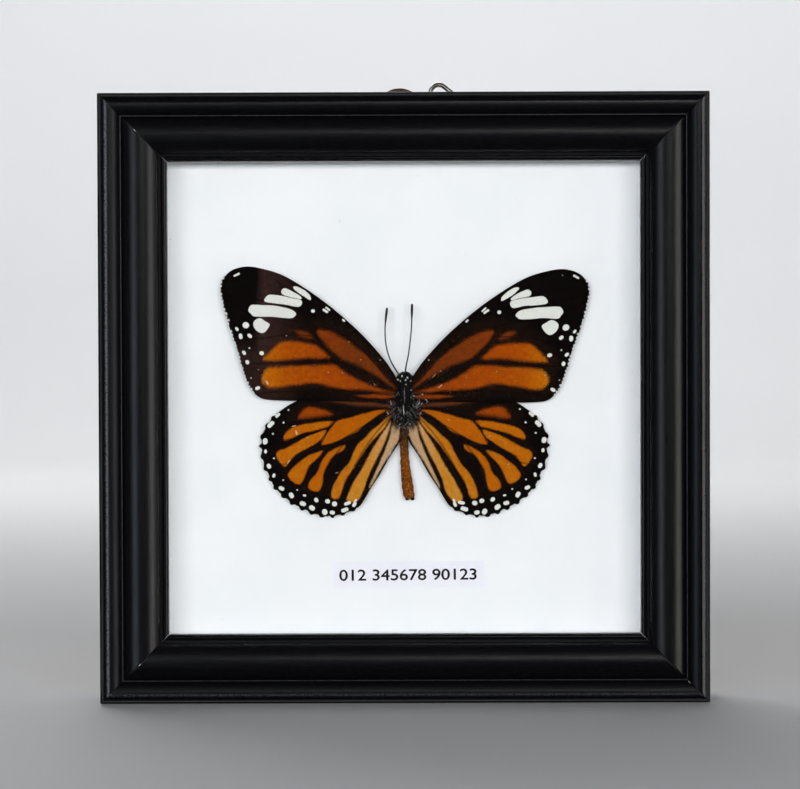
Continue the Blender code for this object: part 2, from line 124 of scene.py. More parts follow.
# Orange patches: (tone from 0, dark brown, to 1, pale tan, softness in mm, outline).
FOREWING_PATCHES = (
    (0.3, 0.34, (
        (18.0, 15.6), (16.3, 15.5), (14.4, 14.7), (12.9, 13.8), (9.6, 11.6), (6.5, 8.9), (4.1, 6.1),
        (2.0, 3.8), (1.5, 3.0), (3.7, 4.5), (7.9, 7.1), (11.7, 8.8), (13.6, 9.7), (15.3, 11.0),
        (16.6, 12.5), (18.4, 14.7))),
    (0.24, 0.4, (
        (23.0, 15.1), (21.7, 15.3), (20.2, 14.8), (19.4, 13.7), (21.5, 14.0))),
    (0.5, 0.36, (
        (29.7, 9.1), (28.7, 10.4), (27.6, 11.6), (26.4, 12.6), (25.2, 13.0), (22.0, 13.0), (20.4, 12.7),
        (18.7, 12.3), (17.2, 11.1), (15.8, 9.6), (17.9, 9.4), (20.3, 9.5), (25.2, 9.0), (28.1, 8.9))),
    (0.52, 0.34, (
        (30.0, 4.6), (29.8, 5.9), (29.1, 7.1), (27.7, 7.6), (22.0, 7.9), (16.0, 8.2), (14.3, 8.0),
        (12.8, 6.9), (10.9, 5.7), (8.0, 4.3), (5.2, 3.3), (2.0, 2.4), (5.2, 2.4), (8.0, 2.9), (13.5, 3.1),
        (17.8, 4.2), (20.3, 4.2), (22.2, 3.9), (26.1, 3.3), (28.4, 3.2), (29.4, 3.8))),
    (0.4, 0.2, (
        (10.1, 1.7), (7.1, 2.0), (4.0, 1.95), (2.0, 1.6), (4.2, 1.15), (7.4, 1.25))),
)
HINDWING_PATCHES = (
    (0.42, 0.4, (
        (22.3, -3.0), (21.4, -1.3), (20.0, -0.6), (18.3, -0.8), (16.6, -1.3), (15.2, -2.1), (17.1, -2.5),
        (19.1, -2.8))),
    (0.02, 0.3, (
        (17.6, 0.8), (14.4, 0.75), (11.6, 0.6), (5.6, 0.2), (3.4, -0.5), (5.4, -0.55), (9.6, -0.4),
        (12.7, 0.05))),
    (0.68, 0.16, (
        (25.2, -7.7), (25.3, -6.4), (24.2, -5.2), (22.7, -4.6), (20.0, -4.0), (15.4, -3.5), (15.4, -4.2),
        (16.4, -4.9), (18.9, -5.5), (22.1, -6.4))),
    (0.7, 0.16, (
        (27.1, -11.0), (26.5, -9.9), (25.2, -9.4), (23.1, -8.2), (20.8, -7.0), (18.3, -5.9), (16.6, -5.4),
        (16.8, -6.4), (18.1, -7.8), (20.8, -9.5), (23.1, -10.8), (24.4, -12.2), (25.3, -13.2),
        (26.3, -12.4))),
    (0.64, 0.16, (
        (17.6, -8.4), (16.4, -6.2), (15.1, -4.6), (14.1, -3.6), (11.6, -2.9), (8.5, -2.0), (5.8, -1.3),
        (3.7, -1.3), (5.6, -2.4), (7.9, -4.0), (10.0, -5.7), (12.1, -6.8), (14.8, -8.0), (16.4, -8.5))),
    (0.7, 0.16, (
        (24.6, -15.2), (24.0, -13.9), (22.1, -12.2), (20.0, -10.7), (17.4, -9.8), (17.8, -10.8),
        (19.9, -12.8), (20.9, -14.7), (21.8, -16.7), (23.2, -16.7))),
    (0.66, 0.16, (
        (20.4, -17.5), (19.9, -16.1), (18.4, -14.3), (17.6, -12.2), (16.1, -10.3), (14.4, -9.3),
        (12.6, -8.6), (13.0, -9.8), (14.9, -10.9), (16.0, -12.5), (17.1, -14.6), (17.3, -16.5),
        (17.9, -18.2), (18.8, -18.5), (19.9, -18.1))),
    (0.74, 0.16, (
        (15.5, -19.5), (15.1, -17.4), (13.8, -14.9), (11.7, -12.3), (10.7, -10.2), (9.6, -8.2),
        (7.9, -6.7), (5.6, -4.5), (3.1, -2.5), (3.8, -4.3), (5.5, -6.4), (7.6, -8.8), (9.7, -11.8),
        (11.5, -14.7), (12.8, -17.0), (13.8, -19.7), (14.7, -20.0))),
    (0.82, 0.16, (
        (12.3, -20.1), (11.6, -18.1), (10.2, -15.6), (8.7, -13.2), (7.2, -10.4), (5.6, -7.6), (4.1, -5.2),
        (2.9, -3.6), (2.9, -4.7), (3.7, -7.2), (5.0, -10.1), (6.4, -12.8), (7.7, -15.5), (8.5, -17.9),
        (9.8, -20.3), (11.2, -20.7))),
    (1.0, 0.16, (
        (7.4, -17.3), (6.5, -15.1), (5.3, -12.4), (4.0, -9.4), (3.0, -6.8), (2.6, -4.6), (1.2, -4.2),
        (0.9, -5.4), (1.0, -6.7), (1.5, -7.9), (2.6, -9.6), (4.4, -12.6), (5.8, -15.1), (7.2, -17.6))),
)

# White marks drawn as outlines.
FOREWING_BARS = (
    ((33.0, 19.5), (32.6, 20.4), (31.8, 20.7), (28.6, 20.6), (24.3, 19.9), (22.9, 18.9), (23.3, 18.2),
     (24.3, 17.9), (28.6, 18.2), (31.7, 18.1), (32.6, 18.8)),
    ((31.9, 17.0), (31.3, 17.6), (30.4, 17.8), (29.4, 17.2), (28.4, 16.5), (29.2, 15.2), (30.1, 14.7),
     (31.1, 15.1), (31.8, 16.0)),
    ((29.6, 21.5), (28.9, 22.7), (27.3, 22.8), (23.8, 22.2), (21.7, 21.6), (22.2, 20.3), (24.9, 20.7),
     (27.7, 21.0)),
    ((26.1, 23.5), (25.8, 24.1), (25.0, 24.2), (23.6, 23.5), (22.0, 22.5), (21.9, 21.9), (23.2, 22.2),
     (25.0, 22.6), (25.8, 22.9)),
    ((23.6, 24.4), (22.8, 24.6), (21.0, 23.7), (19.9, 22.6), (19.9, 21.7), (21.0, 22.3), (22.6, 23.3)),
)
# White dots: (out, up, half length, half width, turn in degrees).
FOREWING_DOTS = (
    (35.5, 27.0, 0.75, 0.24, -27), (19.4, 19.4, 0.42, 0.38, 0), (16.7, 19.5, 0.72, 0.26, 32),
    (16.2, 19.95, 0.66, 0.2, 38), (12.8, 17.5, 0.42, 0.22, 42), (33.5, 16.3, 0.72, 0.66, 30),
    (35.4, 15.5, 0.46, 0.3, 50), (34.6, 14.0, 0.62, 0.42, 80), (32.6, 14.1, 0.56, 0.36, 40),
    (32.6, 11.5, 0.2, 0.18, 0), (33.8, 10.5, 0.52, 0.36, 50), (30.1, 10.4, 0.52, 0.42, 20),
    (33.1, 8.6, 0.48, 0.38, 60), (32.3, 5.2, 0.16, 0.14, 0), (30.9, 3.1, 0.54, 0.34, -25),
    (5.1, 9.3, 0.16, 0.13, 0), (37.6, 18.8, 0.3, 0.16, 70), (37.1, 17.4, 0.3, 0.15, 70),
)
HINDWING_DOTS = (
    (26.8, -2.3, 0.66, 0.32, -40), (28.2, -4.3, 0.84, 0.44, -48), (29.5, -7.8, 0.66, 0.52, 80),
    (29.3, -9.9, 0.44, 0.32, 90), (28.7, -13.1, 0.58, 0.42, 60), (27.6, -15.1, 0.46, 0.3, -75),
    (26.0, -17.8, 0.62, 0.42, 30), (24.0, -19.3, 0.66, 0.46, 55), (21.5, -21.0, 0.68, 0.46, 20),
    (19.6, -21.9, 0.68, 0.5, 38), (16.9, -22.8, 0.64, 0.54, 60), (15.3, -22.9, 0.6, 0.42, 10),
    (12.6, -22.3, 0.82, 0.44, -20), (10.6, -21.2, 0.6, 0.36, -60), (24.4, -1.2, 0.22, 0.2, 0),
    (25.6, -3.9, 0.24, 0.2, -30), (27.8, -6.2, 0.24, 0.2, 0), (27.6, -11.5, 0.22, 0.16, 0),
    (25.7, -16.0, 0.2, 0.18, 0), (22.8, -18.1, 0.2, 0.17, 0), (21.2, -19.3, 0.38, 0.22, 10),
    (18.6, -20.3, 0.54, 0.42, 55), (16.3, -20.5, 0.54, 0.5, 0), (14.8, -21.0, 0.58, 0.52, 0),
    (12.0, -20.9, 0.78, 0.36, -18), (10.4, -20.5, 0.5, 0.24, -60),
)
# Places where scales have rubbed off, drawn like the dots.
FOREWING_FLECKS = {
    "left": (
        (28.9, 4.3, 0.5, 0.2, 60), (16.0, 6.6, 0.22, 0.1, 30), (13.0, 6.5, 0.24, 0.09, 60),
        (9.2, 9.3, 0.2, 0.1, -40), (11.7, 13.0, 0.18, 0.09, 0), (24.9, 14.2, 0.16, 0.1, 0),
        (30.8, 7.0, 0.2, 0.08, 20), (18.9, 8.1, 0.2, 0.08, 0), (6.2, 4.1, 0.4, 0.07, 40),
    ),
    "right": (
        (6.3, 6.0, 0.55, 0.08, 45), (7.6, 3.8, 0.6, 0.1, 38), (7.7, 7.0, 0.2, 0.1, 0),
        (19.5, 7.0, 0.2, 0.1, 40), (29.7, 6.3, 0.22, 0.11, 50), (3.9, 2.1, 0.16, 0.12, 0),
        (33.2, 27.4, 0.16, 0.1, 0), (13.0, 5.6, 0.18, 0.07, 10),
    ),
}
HINDWING_FLECKS = {
    "left": (
        (23.3, -4.6, 0.5, 0.12, -8), (22.8, -6.0, 0.56, 0.2, 75), (20.5, -7.0, 0.26, 0.09, -30),
        (24.5, -12.2, 0.55, 0.11, -60), (14.3, -14.5, 0.36, 0.1, -10), (3.5, -1.9, 0.4, 0.12, 60),
    ),
    "right": (
        (18.0, -6.9, 0.3, 0.09, 20), (9.4, -3.4, 0.3, 0.08, -20), (22.0, -12.8, 0.22, 0.1, 40),
        (3.4, -2.0, 0.4, 0.12, 60),
    ),
}
# Veins, from the wing's root to its margin. The first ones of each wing run round its cell.
FOREWING_VEINS = (
    ((2.9, 4.6), (8.5, 11.0), (14.0, 15.6), (18.8, 16.2), (26.8, 25.6)),
    ((2.6, 3.2), (8.0, 6.0), (13.6, 9.0), (16.8, 11.6), (18.8, 14.8), (18.8, 16.2)),
    ((18.8, 16.2), (22.4, 19.6), (27.0, 21.0), (34.0, 22.4), (38.8, 23.6)),
    ((18.8, 16.2), (24.0, 17.5), (32.0, 19.0), (38.2, 20.2)),
    ((18.6, 14.2), (24.6, 14.4), (30.5, 13.6), (36.4, 13.9)),
    ((15.9, 10.2), (18.0, 8.9), (25.0, 8.5), (34.4, 8.2)),
    ((10.4, 6.9), (15.0, 9.0), (18.0, 8.9)),
    ((2.7, 2.6), (9.5, 2.4), (15.5, 3.0), (24.0, 2.6), (31.0, 1.9)),
)
HINDWING_VEINS = (
    ((3.2, -1.0), (9.0, -1.2), (15.0, -2.8), (22.0, -3.6), (28.2, -3.0)),
    ((3.2, -1.6), (9.0, -4.8), (14.0, -7.9), (17.8, -9.0)),
    ((15.0, -2.8), (15.9, -5.0), (17.8, -9.0)),
    ((15.9, -5.0), (22.0, -6.9), (30.5, -8.6)),
    ((17.8, -9.0), (23.0, -11.9), (29.7, -13.6)),
    ((16.6, -9.4), (19.2, -12.6), (21.6, -16.9), (24.6, -20.7)),
    ((12.0, -7.4), (15.2, -11.7), (16.4, -16.0), (18.6, -23.6)),
    ((3.0, -2.6), (7.2, -7.6), (10.6, -13.2), (13.6, -20.4), (14.2, -23.8)),
    ((2.7, -3.8), (4.2, -8.4), (7.2, -14.6), (9.4, -21.6)),
)


def forewing_drift(flat):
    """Added to the tone: redder towards the body and yellower at the patches' outer ends."""
    out = flat[:, 0]
    return 0.14 * share((out - 10) / 18) + 0.16 * share((out - 25) / 5) - 0.09


def hindwing_drift(flat):
    """Added to the tone: paler towards the body below the cell."""
    return 0.14 * share((8 - flat[:, 0]) / 6) * share((-flat[:, 1] - 2.5) / 3)


WINGS = {
    "forewing": {
        "outline": FOREWING_OUTLINE, "patches": FOREWING_PATCHES, "bars": FOREWING_BARS,
        "dots": FOREWING_DOTS, "veins": FOREWING_VEINS, "heights": (9.15, 7.65),
        "turn": {"left": 0.7, "right": -0.7}, "margin": ((37.9, 27.2), (31.3, 1.4)),
        "teeth": (0.82, 0.15), "seed": 3.0, "shift": {"left": (0.0, 0.0), "right": (0.5, 0.12)},
        "flecks": FOREWING_FLECKS, "drift": forewing_drift,
    },
    "hindwing": {
        "outline": HINDWING_OUTLINE, "patches": HINDWING_PATCHES, "bars": (),
        "dots": HINDWING_DOTS, "veins": HINDWING_VEINS, "heights": (8.0, 6.7),
        "turn": {"left": 0.0, "right": 0.0}, "margin": ((26.8, -1.7), (9.6, -21.8)),
        "teeth": (2.35, 0.34), "seed": 11.0, "shift": {"left": (0.0, 0.0), "right": (0.0, 0.0)},
        "flecks": HINDWING_FLECKS, "drift": hindwing_drift,
    },
}
SIDES = {"left": -1, "right": 1}
WING_REACH = 39.0
WING_SPACING = 0.17
EDGE_SPACING = 0.1
WING_THICKNESS = 0.07
OUTSIDE = -9.0

# Body sections: (height above BODY_Z, x of the centre, half width, half depth, centre's height).
THORAX_SECTIONS = (
    (4.2, 0.1, 1.0, 1.1, 8.1), (3.8, 0.1, 1.45, 1.5, 8.1), (2.8, 0.1, 1.85, 1.8, 8.1),
    (1.2, 0.12, 2.3, 2.05, 8.1), (-1.0, 0.12, 2.5, 2.1, 8.05), (-3.0, 0.1, 2.25, 1.95, 7.9),
    (-4.2, 0.0, 1.6, 1.5, 7.7), (-4.9, 0.0, 0.9, 0.95, 7.6),
)
HEAD_SECTIONS = (
    (6.75, 0.15, 0.6, 0.5, 7.9), (6.5, 0.15, 1.1, 0.95, 7.9), (5.8, 0.15, 1.55, 1.3, 7.9),
    (5.0, 0.15, 1.72, 1.42, 7.9), (4.3, 0.15, 1.6, 1.3, 7.95), (3.7, 0.15, 1.3, 1.1, 8.0),
)
ABDOMEN_SECTIONS = (
    (-4.9, -0.05, 0.55, 0.6, 7.45), (-5.5, -0.1, 0.95, 0.9, 7.3), (-7.0, -0.12, 0.96, 0.95, 7.2),
    (-9.0, -0.06, 0.9, 0.92, 7.1), (-11.0, 0.02, 0.9, 0.92, 7.0), (-13.0, 0.15, 0.97, 0.97, 7.0),
    (-15.0, 0.38, 1.08, 1.06, 7.0), (-17.0, 0.62, 1.19, 1.15, 7.0), (-18.6, 0.82, 1.2, 1.15, 7.0),
    (-19.6, 0.93, 1.1, 1.05, 6.95), (-20.1, 0.98, 0.8, 0.8, 6.9),
)
ANTENNA_ROUTES = {
    "left": ((-1.0, 6.1, 8.4), (-2.0, 7.6, 8.8), (-3.06, 9.7, 9.0), (-3.8, 12.5, 9.1),
             (-3.98, 16.1, 9.2), (-3.56, 20.3, 9.1)),
    "right": ((0.2, 6.6, 8.4), (0.45, 8.2, 8.8), (0.91, 10.4, 9.0), (1.3, 13.4, 9.1),
              (1.58, 16.4, 9.2), (1.71, 21.1, 9.1)),
}


# ---------------------------------------------------------------- shader nodes

class Value:
    """A socket in a node tree. Values add, multiply, ramp and choose between colours."""

    def __init__(self, tree, socket):
        self.tree = tree
        self.socket = socket

    def math(self, operation, other=0.0):
        return self.tree.node("Math", 0, {0: self, 1: other}, operation=operation)

    def __add__(self, other):
        return self.math("ADD", other)

    def __mul__(self, other):
        return self.math("MULTIPLY", other)

    def ramp(self, low, high, to_low=0.0, to_high=1.0, curve="SMOOTHSTEP"):
        """Carried from low..high to to_low..to_high, and held there outside."""
        given = dict(enumerate((self, low, high, to_low, to_high)))
        return self.tree.node("MapRange", 0, given, interpolation_type=curve)

    def between(self, first, second):
        """The first colour where this is 0 and the second where it is 1."""
        return self.tree.mix(self, first, second)

    def colours(self, stops):
        """A colour ramp with stops of (position, colour)."""
        result = self.tree.node("ValToRGB", 0, {0: self})
        ramp = result.socket.node.color_ramp
        while len(ramp.elements) < len(stops):
            ramp.elements.new(1.0)
        for element, (position, colour) in zip(ramp.elements, stops):
            element.position = position
            element.color = (*colour, 1.0)
        return result


class Tree:
    """The node tree of a material or the world."""

    def __init__(self, owner):
        owner.use_nodes = True
        self.nodes = owner.node_tree.nodes
        self.links = owner.node_tree.links

    def feed(self, socket, value):
        if isinstance(value, Value):
            self.links.new(value.socket, socket)
        elif isinstance(value, tuple) and len(value) == 3 and socket.type == "RGBA":
            socket.default_value = (*value, 1.0)
        else:
            socket.default_value = value

    def node(self, kind, output, inputs, **settings):
        """A new node with its settings and inputs. Gives one of its outputs."""
        node = self.nodes.new("ShaderNode" + kind)
        for name, value in settings.items():
            setattr(node, name, value)
        for socket, value in inputs.items():
            self.feed(node.inputs[socket], value)
        return Value(self, node.outputs[output])

    def mix(self, factor, first, second, blend="MIX"):
        return self.node("Mix", 2, {"Factor": factor, 6: first, 7: second}, data_type="RGBA",
                         blend_type=blend)


class Finish(Tree):
    """One material's tree, grown round its Principled shader. Patterns are in millimetres."""

    def __init__(self, name, **values):
        self.material = bpy.data.materials.new(name)
        super().__init__(self.material)
        self.shader = self.nodes["Principled BSDF"]
        place = self.node("TexCoord", "Object", {})
        self.place = self.node("VectorMath", 0, {0: place, "Scale": 1 / MM}, operation="SCALE")
        self.set(**values)

    def set(self, **values):
        for socket, value in values.items():
            self.feed(self.shader.inputs[socket.replace("_", " ")], value)

    def where(self, stretch):
        if not stretch:
            return self.place
        return self.node("VectorMath", 0, {0: self.place, 1: stretch}, operation="MULTIPLY")

    def noise(self, per_mm, detail=2.0, roughness=0.5, stretch=None):
        return self.node("TexNoise", 0, {"Scale": per_mm, "Detail": detail, "Roughness": roughness,
                                         "Vector": self.where(stretch)})

    def cells(self, per_mm, output="Distance", stretch=None):
        return self.node("TexVoronoi", output, {"Scale": per_mm, "Vector": self.where(stretch)})

    def attribute(self, name):
        return self.node("Attribute", "Fac", {}, attribute_name=name)

    def bump(self, *reliefs):
        """Adds reliefs of (height, its depth in mm where the height goes from 0 to 1)."""
        for height, depth in reliefs:
            inputs = {"Strength": 1.0, "Distance": depth * MM, "Height": height}
            before = self.shader.inputs["Normal"].links
            if before:
                inputs["Normal"] = Value(self, before[0].from_socket)
            self.set(Normal=self.node("Bump", "Normal", inputs))


def two_tone(name, pattern, span, first, second, depth=0.0, **values):
    """A finish that goes from one colour to another as a noise crosses a span."""
    finish = Finish(name, **values)
    tint = finish.noise(*pattern)
    finish.set(Base_Color=tint.ramp(*span).between(first, second))
    if depth:
        finish.bump((tint, depth))
    return finish.material


def along_grain(axis, factor):
    """A stretch of a pattern along one axis: the smaller the factor, the longer its grain."""
    return tuple(factor if each == axis else 1.0 for each in "xyz")


def black_paint(name, axis):
    """Satin black paint over wood whose grain runs along one axis."""
    finish = Finish(name)
    grain = finish.noise(2.4, 4.0, 0.6, along_grain(axis, 0.06))
    peel = finish.noise(1.6, 3.0)
    grit = finish.noise(7.0, 2.0)
    base = peel.ramp(0.3, 0.7).between((0.0014, 0.0014, 0.0022), (0.003, 0.003, 0.0042))
    patchy = finish.noise(2.8, 3.0, 0.75).ramp(0.38, 0.62, 0.15, 1.0)
    # Painted highlight: a pale blue-grey line where the rail's highlight field is set, broken up by noise.
    base = (finish.attribute("rubbed_and_highlight") * patchy).between(base, (0.095, 0.1, 0.115))
    worn = finish.attribute("wear") + grit * 0.62
    base = worn.ramp(0.92, 1.0).between(base, (0.10, 0.095, 0.09))
    bare = finish.attribute("bare") + grit * 0.3
    base = bare.ramp(0.62, 0.9).between(base, (0.42, 0.43, 0.42))
    sheen = grain.ramp(0.25, 0.75, 0.27, 0.37)
    finish.set(Base_Color=base, Roughness=sheen + finish.attribute("dull"))
    finish.bump((grain, 0.012), (peel, 0.01), (finish.noise(4.5, 2.0), 0.01))
    return finish.material


def bare_wood(name, axis):
    """Raw pale wood at the back of the moulding and on its mitres."""
    finish = Finish(name, Roughness=0.78)
    grain = finish.noise(1.5, 5.0, 0.65, along_grain(axis, 0.05))
    fibre = finish.noise(9.0, 3.0, 0.6, along_grain(axis, 0.05))
    colour = grain.colours(((0.3, (0.34, 0.20, 0.10)), (0.55, (0.50, 0.33, 0.18)),
                            (0.75, (0.60, 0.43, 0.26))))
    stain = finish.noise(0.12, 3.0).ramp(0.5, 0.72)
    colour = (stain * 0.35).between(colour, (0.2, 0.12, 0.07))
    finish.set(Base_Color=fibre.ramp(0.6, 0.8).between(colour, (0.26, 0.15, 0.08)))
    finish.bump((grain, 0.04), (fibre, 0.02))
    return finish.material


def panel_card():
    """Matt cool white card with a faint fibre and a few specks."""
    finish = Finish("panel_card", Roughness=0.9)
    fibre = finish.noise(3.2, 3.0, 0.7)
    colour = finish.noise(0.09, 3.0).ramp(0.3, 0.7).between((0.83, 0.865, 0.88), (0.865, 0.89, 0.905))
    colour = fibre.ramp(0.35, 0.75).between(finish.mix(0.05, colour, (0.5, 0.55, 0.58)), colour)
    speck = finish.noise(2.1, 1.0, 0.2).ramp(0.77, 0.82, 0.0, 0.6)
    finish.set(Base_Color=speck.between(colour, (0.25, 0.25, 0.27)))
    finish.bump((fibre, 0.02))
    return finish.material


def hardboard():
    """Brown hardboard, rough side out, with the screen it was pressed on printed in it."""
    finish = Finish("hardboard_back", Roughness=0.82)
    fibre = finish.noise(1.8, 5.0, 0.7)
    fleck = finish.noise(5.5, 3.0, 0.6, (0.35, 1.0, 1.0)).ramp(0.62, 0.78, 0.0, 0.7)
    cloud = finish.noise(0.05, 3.0).ramp(0.45, 0.75, 0.0, 0.4)
    colour = fibre.colours(((0.3, (0.085, 0.043, 0.02)), (0.5, (0.17, 0.09, 0.043)),
                            (0.72, (0.27, 0.155, 0.08))))
    colour = cloud.between(fleck.between(colour, (0.4, 0.27, 0.15)), (0.1, 0.055, 0.03))
    finish.set(Base_Color=colour)
    pitch = 2 * math.pi / 1.3
    across, up = ((finish.node("SeparateXYZ", axis, {0: finish.place}) * pitch).math("SINE")
                  for axis in "XZ")
    finish.bump((across * up, 0.07), (fibre, 0.05))
    return finish.material


def steel(name, bright, rust, roughness):
    """Plated or cut steel: fine scratches, a little tarnish, and rust in the share given."""
    finish = Finish(name, Metallic=1.0)
    scratch = finish.noise(9.0, 3.0, 0.6, (1.0, 1.0, 0.12))
    cloud = finish.noise(0.9, 4.0, 0.6)
    colour = cloud.ramp(0.35, 0.7).between(bright, tuple(0.62 * value for value in bright))
    spots = cloud.ramp(0.78 - rust, 0.86 - rust)
    finish.set(Base_Color=spots.between(colour, (0.16, 0.07, 0.035)),
               Roughness=scratch.ramp(0.3, 0.75, roughness, roughness + 0.16))
    finish.bump((scratch, 0.006))
    return finish.material


ORANGES = (
    (0.0, (0.105, 0.03, 0.012)), (0.16, (0.12, 0.025, 0.004)), (0.3, (0.225, 0.037, 0.0015)),
    (0.5, (0.38, 0.064, 0.001)), (0.7, (0.52, 0.14, 0.001)), (0.82, (0.6, 0.25, 0.02)),
    (1.0, (0.61, 0.385, 0.2)),
)


def wing_scales(name, black, mottle, dusting):
    """Wing scales: the orange ground, the black round it and the white marks, from the drawing."""
    finish = Finish(name, Roughness=0.65, Specular_IOR_Level=0.05)
    scales = finish.noise(5.5, 3.0, 0.7)
    rows = finish.cells(6.0, "Color", (1.0, 1.0, 0.75))
    dust = finish.noise(1.1, 3.0, 0.6)
    warm = (finish.attribute("tone") + dust.ramp(0.3, 0.7, -mottle, mottle)).colours(ORANGES)
    warm = scales.ramp(0.3, 0.7, 0.3, 0.0).between(warm, (0.13, 0.03, 0.003))
    warm = finish.mix(0.16, warm, finish.mix(1.0, warm, rows, "MULTIPLY"))
    dark = scales.ramp(0.35, 0.75).between(black, tuple(2.4 * v for v in black))
    # Painted reflection: the black turns brown where the left forewing's reflection field is set.
    reflection_mask = finish.attribute("painted_reflection") * dust.ramp(0.2, 0.7, 0.5, 1.0)
    dark = reflection_mask.between(dark, (0.034, 0.016, 0.0135))
    fuzz = scales.ramp(0.2, 0.8, -0.35, 0.35, "LINEAR")
    ground = finish.attribute("orange")
    loose = ground.ramp(-2.6, -0.2) * finish.noise(7.5, 1.0).ramp(0.6, 0.72)
    dark = (loose * dusting).between(dark, (0.16, 0.062, 0.014))
    colour = (ground + fuzz * 1.15).ramp(-0.24, 0.4).between(dark, warm)
    shade = finish.attribute("vein").ramp(0.1, 0.3, 0.5, 0.0)
    colour = shade.between(colour, (0.003, 0.0012, 0.0008))
    pale = scales.ramp(0.3, 0.7).between((0.6, 0.62, 0.575), (0.76, 0.775, 0.725))
    colour = (finish.attribute("white") + fuzz * 0.14).ramp(-0.05, 0.09).between(colour, pale)
    spark = finish.noise(4.2, 1.0).ramp(0.74, 0.8) * finish.attribute("root")
    rubbed_and_highlight = finish.attribute("fleck").ramp(-0.03, 0.06) * scales.ramp(0.25, 0.6, 0.25, 0.9)
    worn = (spark * 0.6).math("MAXIMUM", rubbed_and_highlight)
    finish.set(Base_Color=worn.between(colour, (0.66, 0.5, 0.34)))
    finish.bump((scales, 0.02))
    return finish.material


def insect_skin(name, stops, per_mm):
    """Scaled skin: a mottled ground with pale scale tufts where the piece's white marks are."""
    finish = Finish(name, Specular_IOR_Level=0.08)
    ground = finish.noise(per_mm, 4.0, 0.7)
    fine = finish.noise(per_mm * 3.4, 2.0, 0.6, (1.0, 1.0, 0.4))
    colour = fine.ramp(0.35, 0.65, 0.45, 0.0).between(ground.colours(stops), stops[0][1])
    colour = finish.attribute("dusk").between(colour, (0.02, 0.009, 0.0045))
    edge = finish.attribute("white") + fine.ramp(0.2, 0.8, -0.07, 0.07)
    finish.set(Base_Color=edge.ramp(-0.04, 0.07).between(colour, (0.78, 0.8, 0.76)),
               Roughness=ground.ramp(0.3, 0.7, 0.52, 0.76))
    finish.bump((fine, 0.03))
    return finish.material


def hair(name, dark, pale):
    return two_tone(name, (1.7, 2.0, 0.7), (0.35, 0.65), dark, pale, Roughness=0.6,
                    Specular_IOR_Level=0.06)


def eye_lens():
    """The compound eye: dark, glossy and finely faceted."""
    finish = Finish("compound_eye", Roughness=0.22, Coat_Weight=0.3)
    facets = finish.cells(14.0)
    finish.set(Base_Color=facets.ramp(0.1, 0.5).between((0.035, 0.022, 0.018), (0.008, 0.006, 0.006)))
    finish.bump((facets, 0.012))
    return finish.material


# ---------------------------------------------------------------- outlines and fields

def spline(points, steps, closed=False):
    """A Catmull-Rom curve through the points, as an array, with some steps between each two."""
    given = np.array(points, float)
    if closed:
        padded = np.concatenate((given[-1:], given, given[:2]))
    else:
        padded = np.concatenate((2 * given[:1] - given[1:2], given, 2 * given[-1:] - given[-2:-1]))
    t = np.linspace(0, 1, steps, endpoint=False)[:, None]
    runs = []
    for p0, p1, p2, p3 in zip(padded, padded[1:], padded[2:], padded[3:]):
        bend = (2 * p0 - 5 * p1 + 4 * p2 - p3) * t ** 2 + (3 * p1 - p0 - 3 * p2 + p3) * t ** 3
        runs.append(0.5 * (2 * p1 + (p2 - p0) * t + bend))
    curve = np.concatenate(runs)
    return curve if closed else np.concatenate((curve, given[-1:]))


def evenly(path, spacing, closed=False):
    """The path's points placed again, spacing apart."""
    full = np.concatenate((path, path[:1])) if closed else path
    along = np.concatenate(([0.0], np.cumsum(np.linalg.norm(np.diff(full, axis=0), axis=1))))
    count = max(2, round(along[-1] / spacing))
    marks = np.linspace(0, along[-1], count + 1)[:-1 if closed else None]
    return np.stack([np.interp(marks, along, column) for column in full.T], axis=1)


def distance_to_path(points, path, closed=False):
    ends = np.roll(path, -1, axis=0) if closed else path[1:]
    nearest = np.full(len(points), np.inf)
    for start, end in zip(path, ends):
        run = end - start
        t = np.clip(((points - start) @ run) / max(run @ run, 1e-12), 0, 1)
        gap = points - start - t[:, None] * run
        nearest = np.minimum(nearest, np.hypot(gap[:, 0], gap[:, 1]))
    return nearest


def depth_in(points, outline):
    """How far inside a closed outline each point lies. Outside it the value is negative."""
    x, y = points.T
    within = np.zeros(len(points), bool)
    for (x1, y1), (x2, y2) in zip(outline, np.roll(outline, -1, axis=0)):
        if y1 != y2:
            crosses = (y1 > y) != (y2 > y)
            within ^= crosses & (x < (x2 - x1) * (y - y1) / (y2 - y1) + x1)
    return distance_to_path(points, outline, True) * np.where(within, 1, -1)


def depth_in_dot(points, dot):
    """The same for a dot with round ends."""
    out, up, half_length, half_width, turn = dot
    run = np.array((math.cos(math.radians(turn)), math.sin(math.radians(turn))))
    run = run * (half_length - half_width)
    ends = np.array(((out, up) - run, (out, up) + run))
    return half_width - distance_to_path(points, ends)


def deepest(points, outlines=(), dots=()):
    """How far each point lies inside the nearest of some marks, or OUTSIDE far from them all."""
    depth = np.full(len(points), OUTSIDE)
    for outline in outlines:
        depth = np.maximum(depth, depth_in(points, spline(outline, 4, True)))
    for dot in dots:
        depth = np.maximum(depth, depth_in_dot(points, dot))
    return depth


def ripple(points, per_mm, seed):
    """Smooth noise from about -1 to 1 at each point."""
    return np.array([noise.noise((x * per_mm, y * per_mm, seed)) for x, y in points])


def bell(value, centre, width):
    """1 at the centre, falling off smoothly to both sides."""
    return math.exp(-((value - centre) / width) ** 2)


def share(value):
    """The value held between 0 and 1."""
    return np.clip(value, 0, 1)


# ---------------------------------------------------------------- meshes

def add_object(name, data):
    thing = bpy.data.objects.new(name, data)
    bpy.context.scene.collection.objects.link(thing)
    return thing


def new_mesh(name, bm):
    """A mesh from a bmesh, which is used up."""
    mesh = bpy.data.meshes.new(name)
    bm.to_mesh(mesh)
    bm.free()
    return mesh


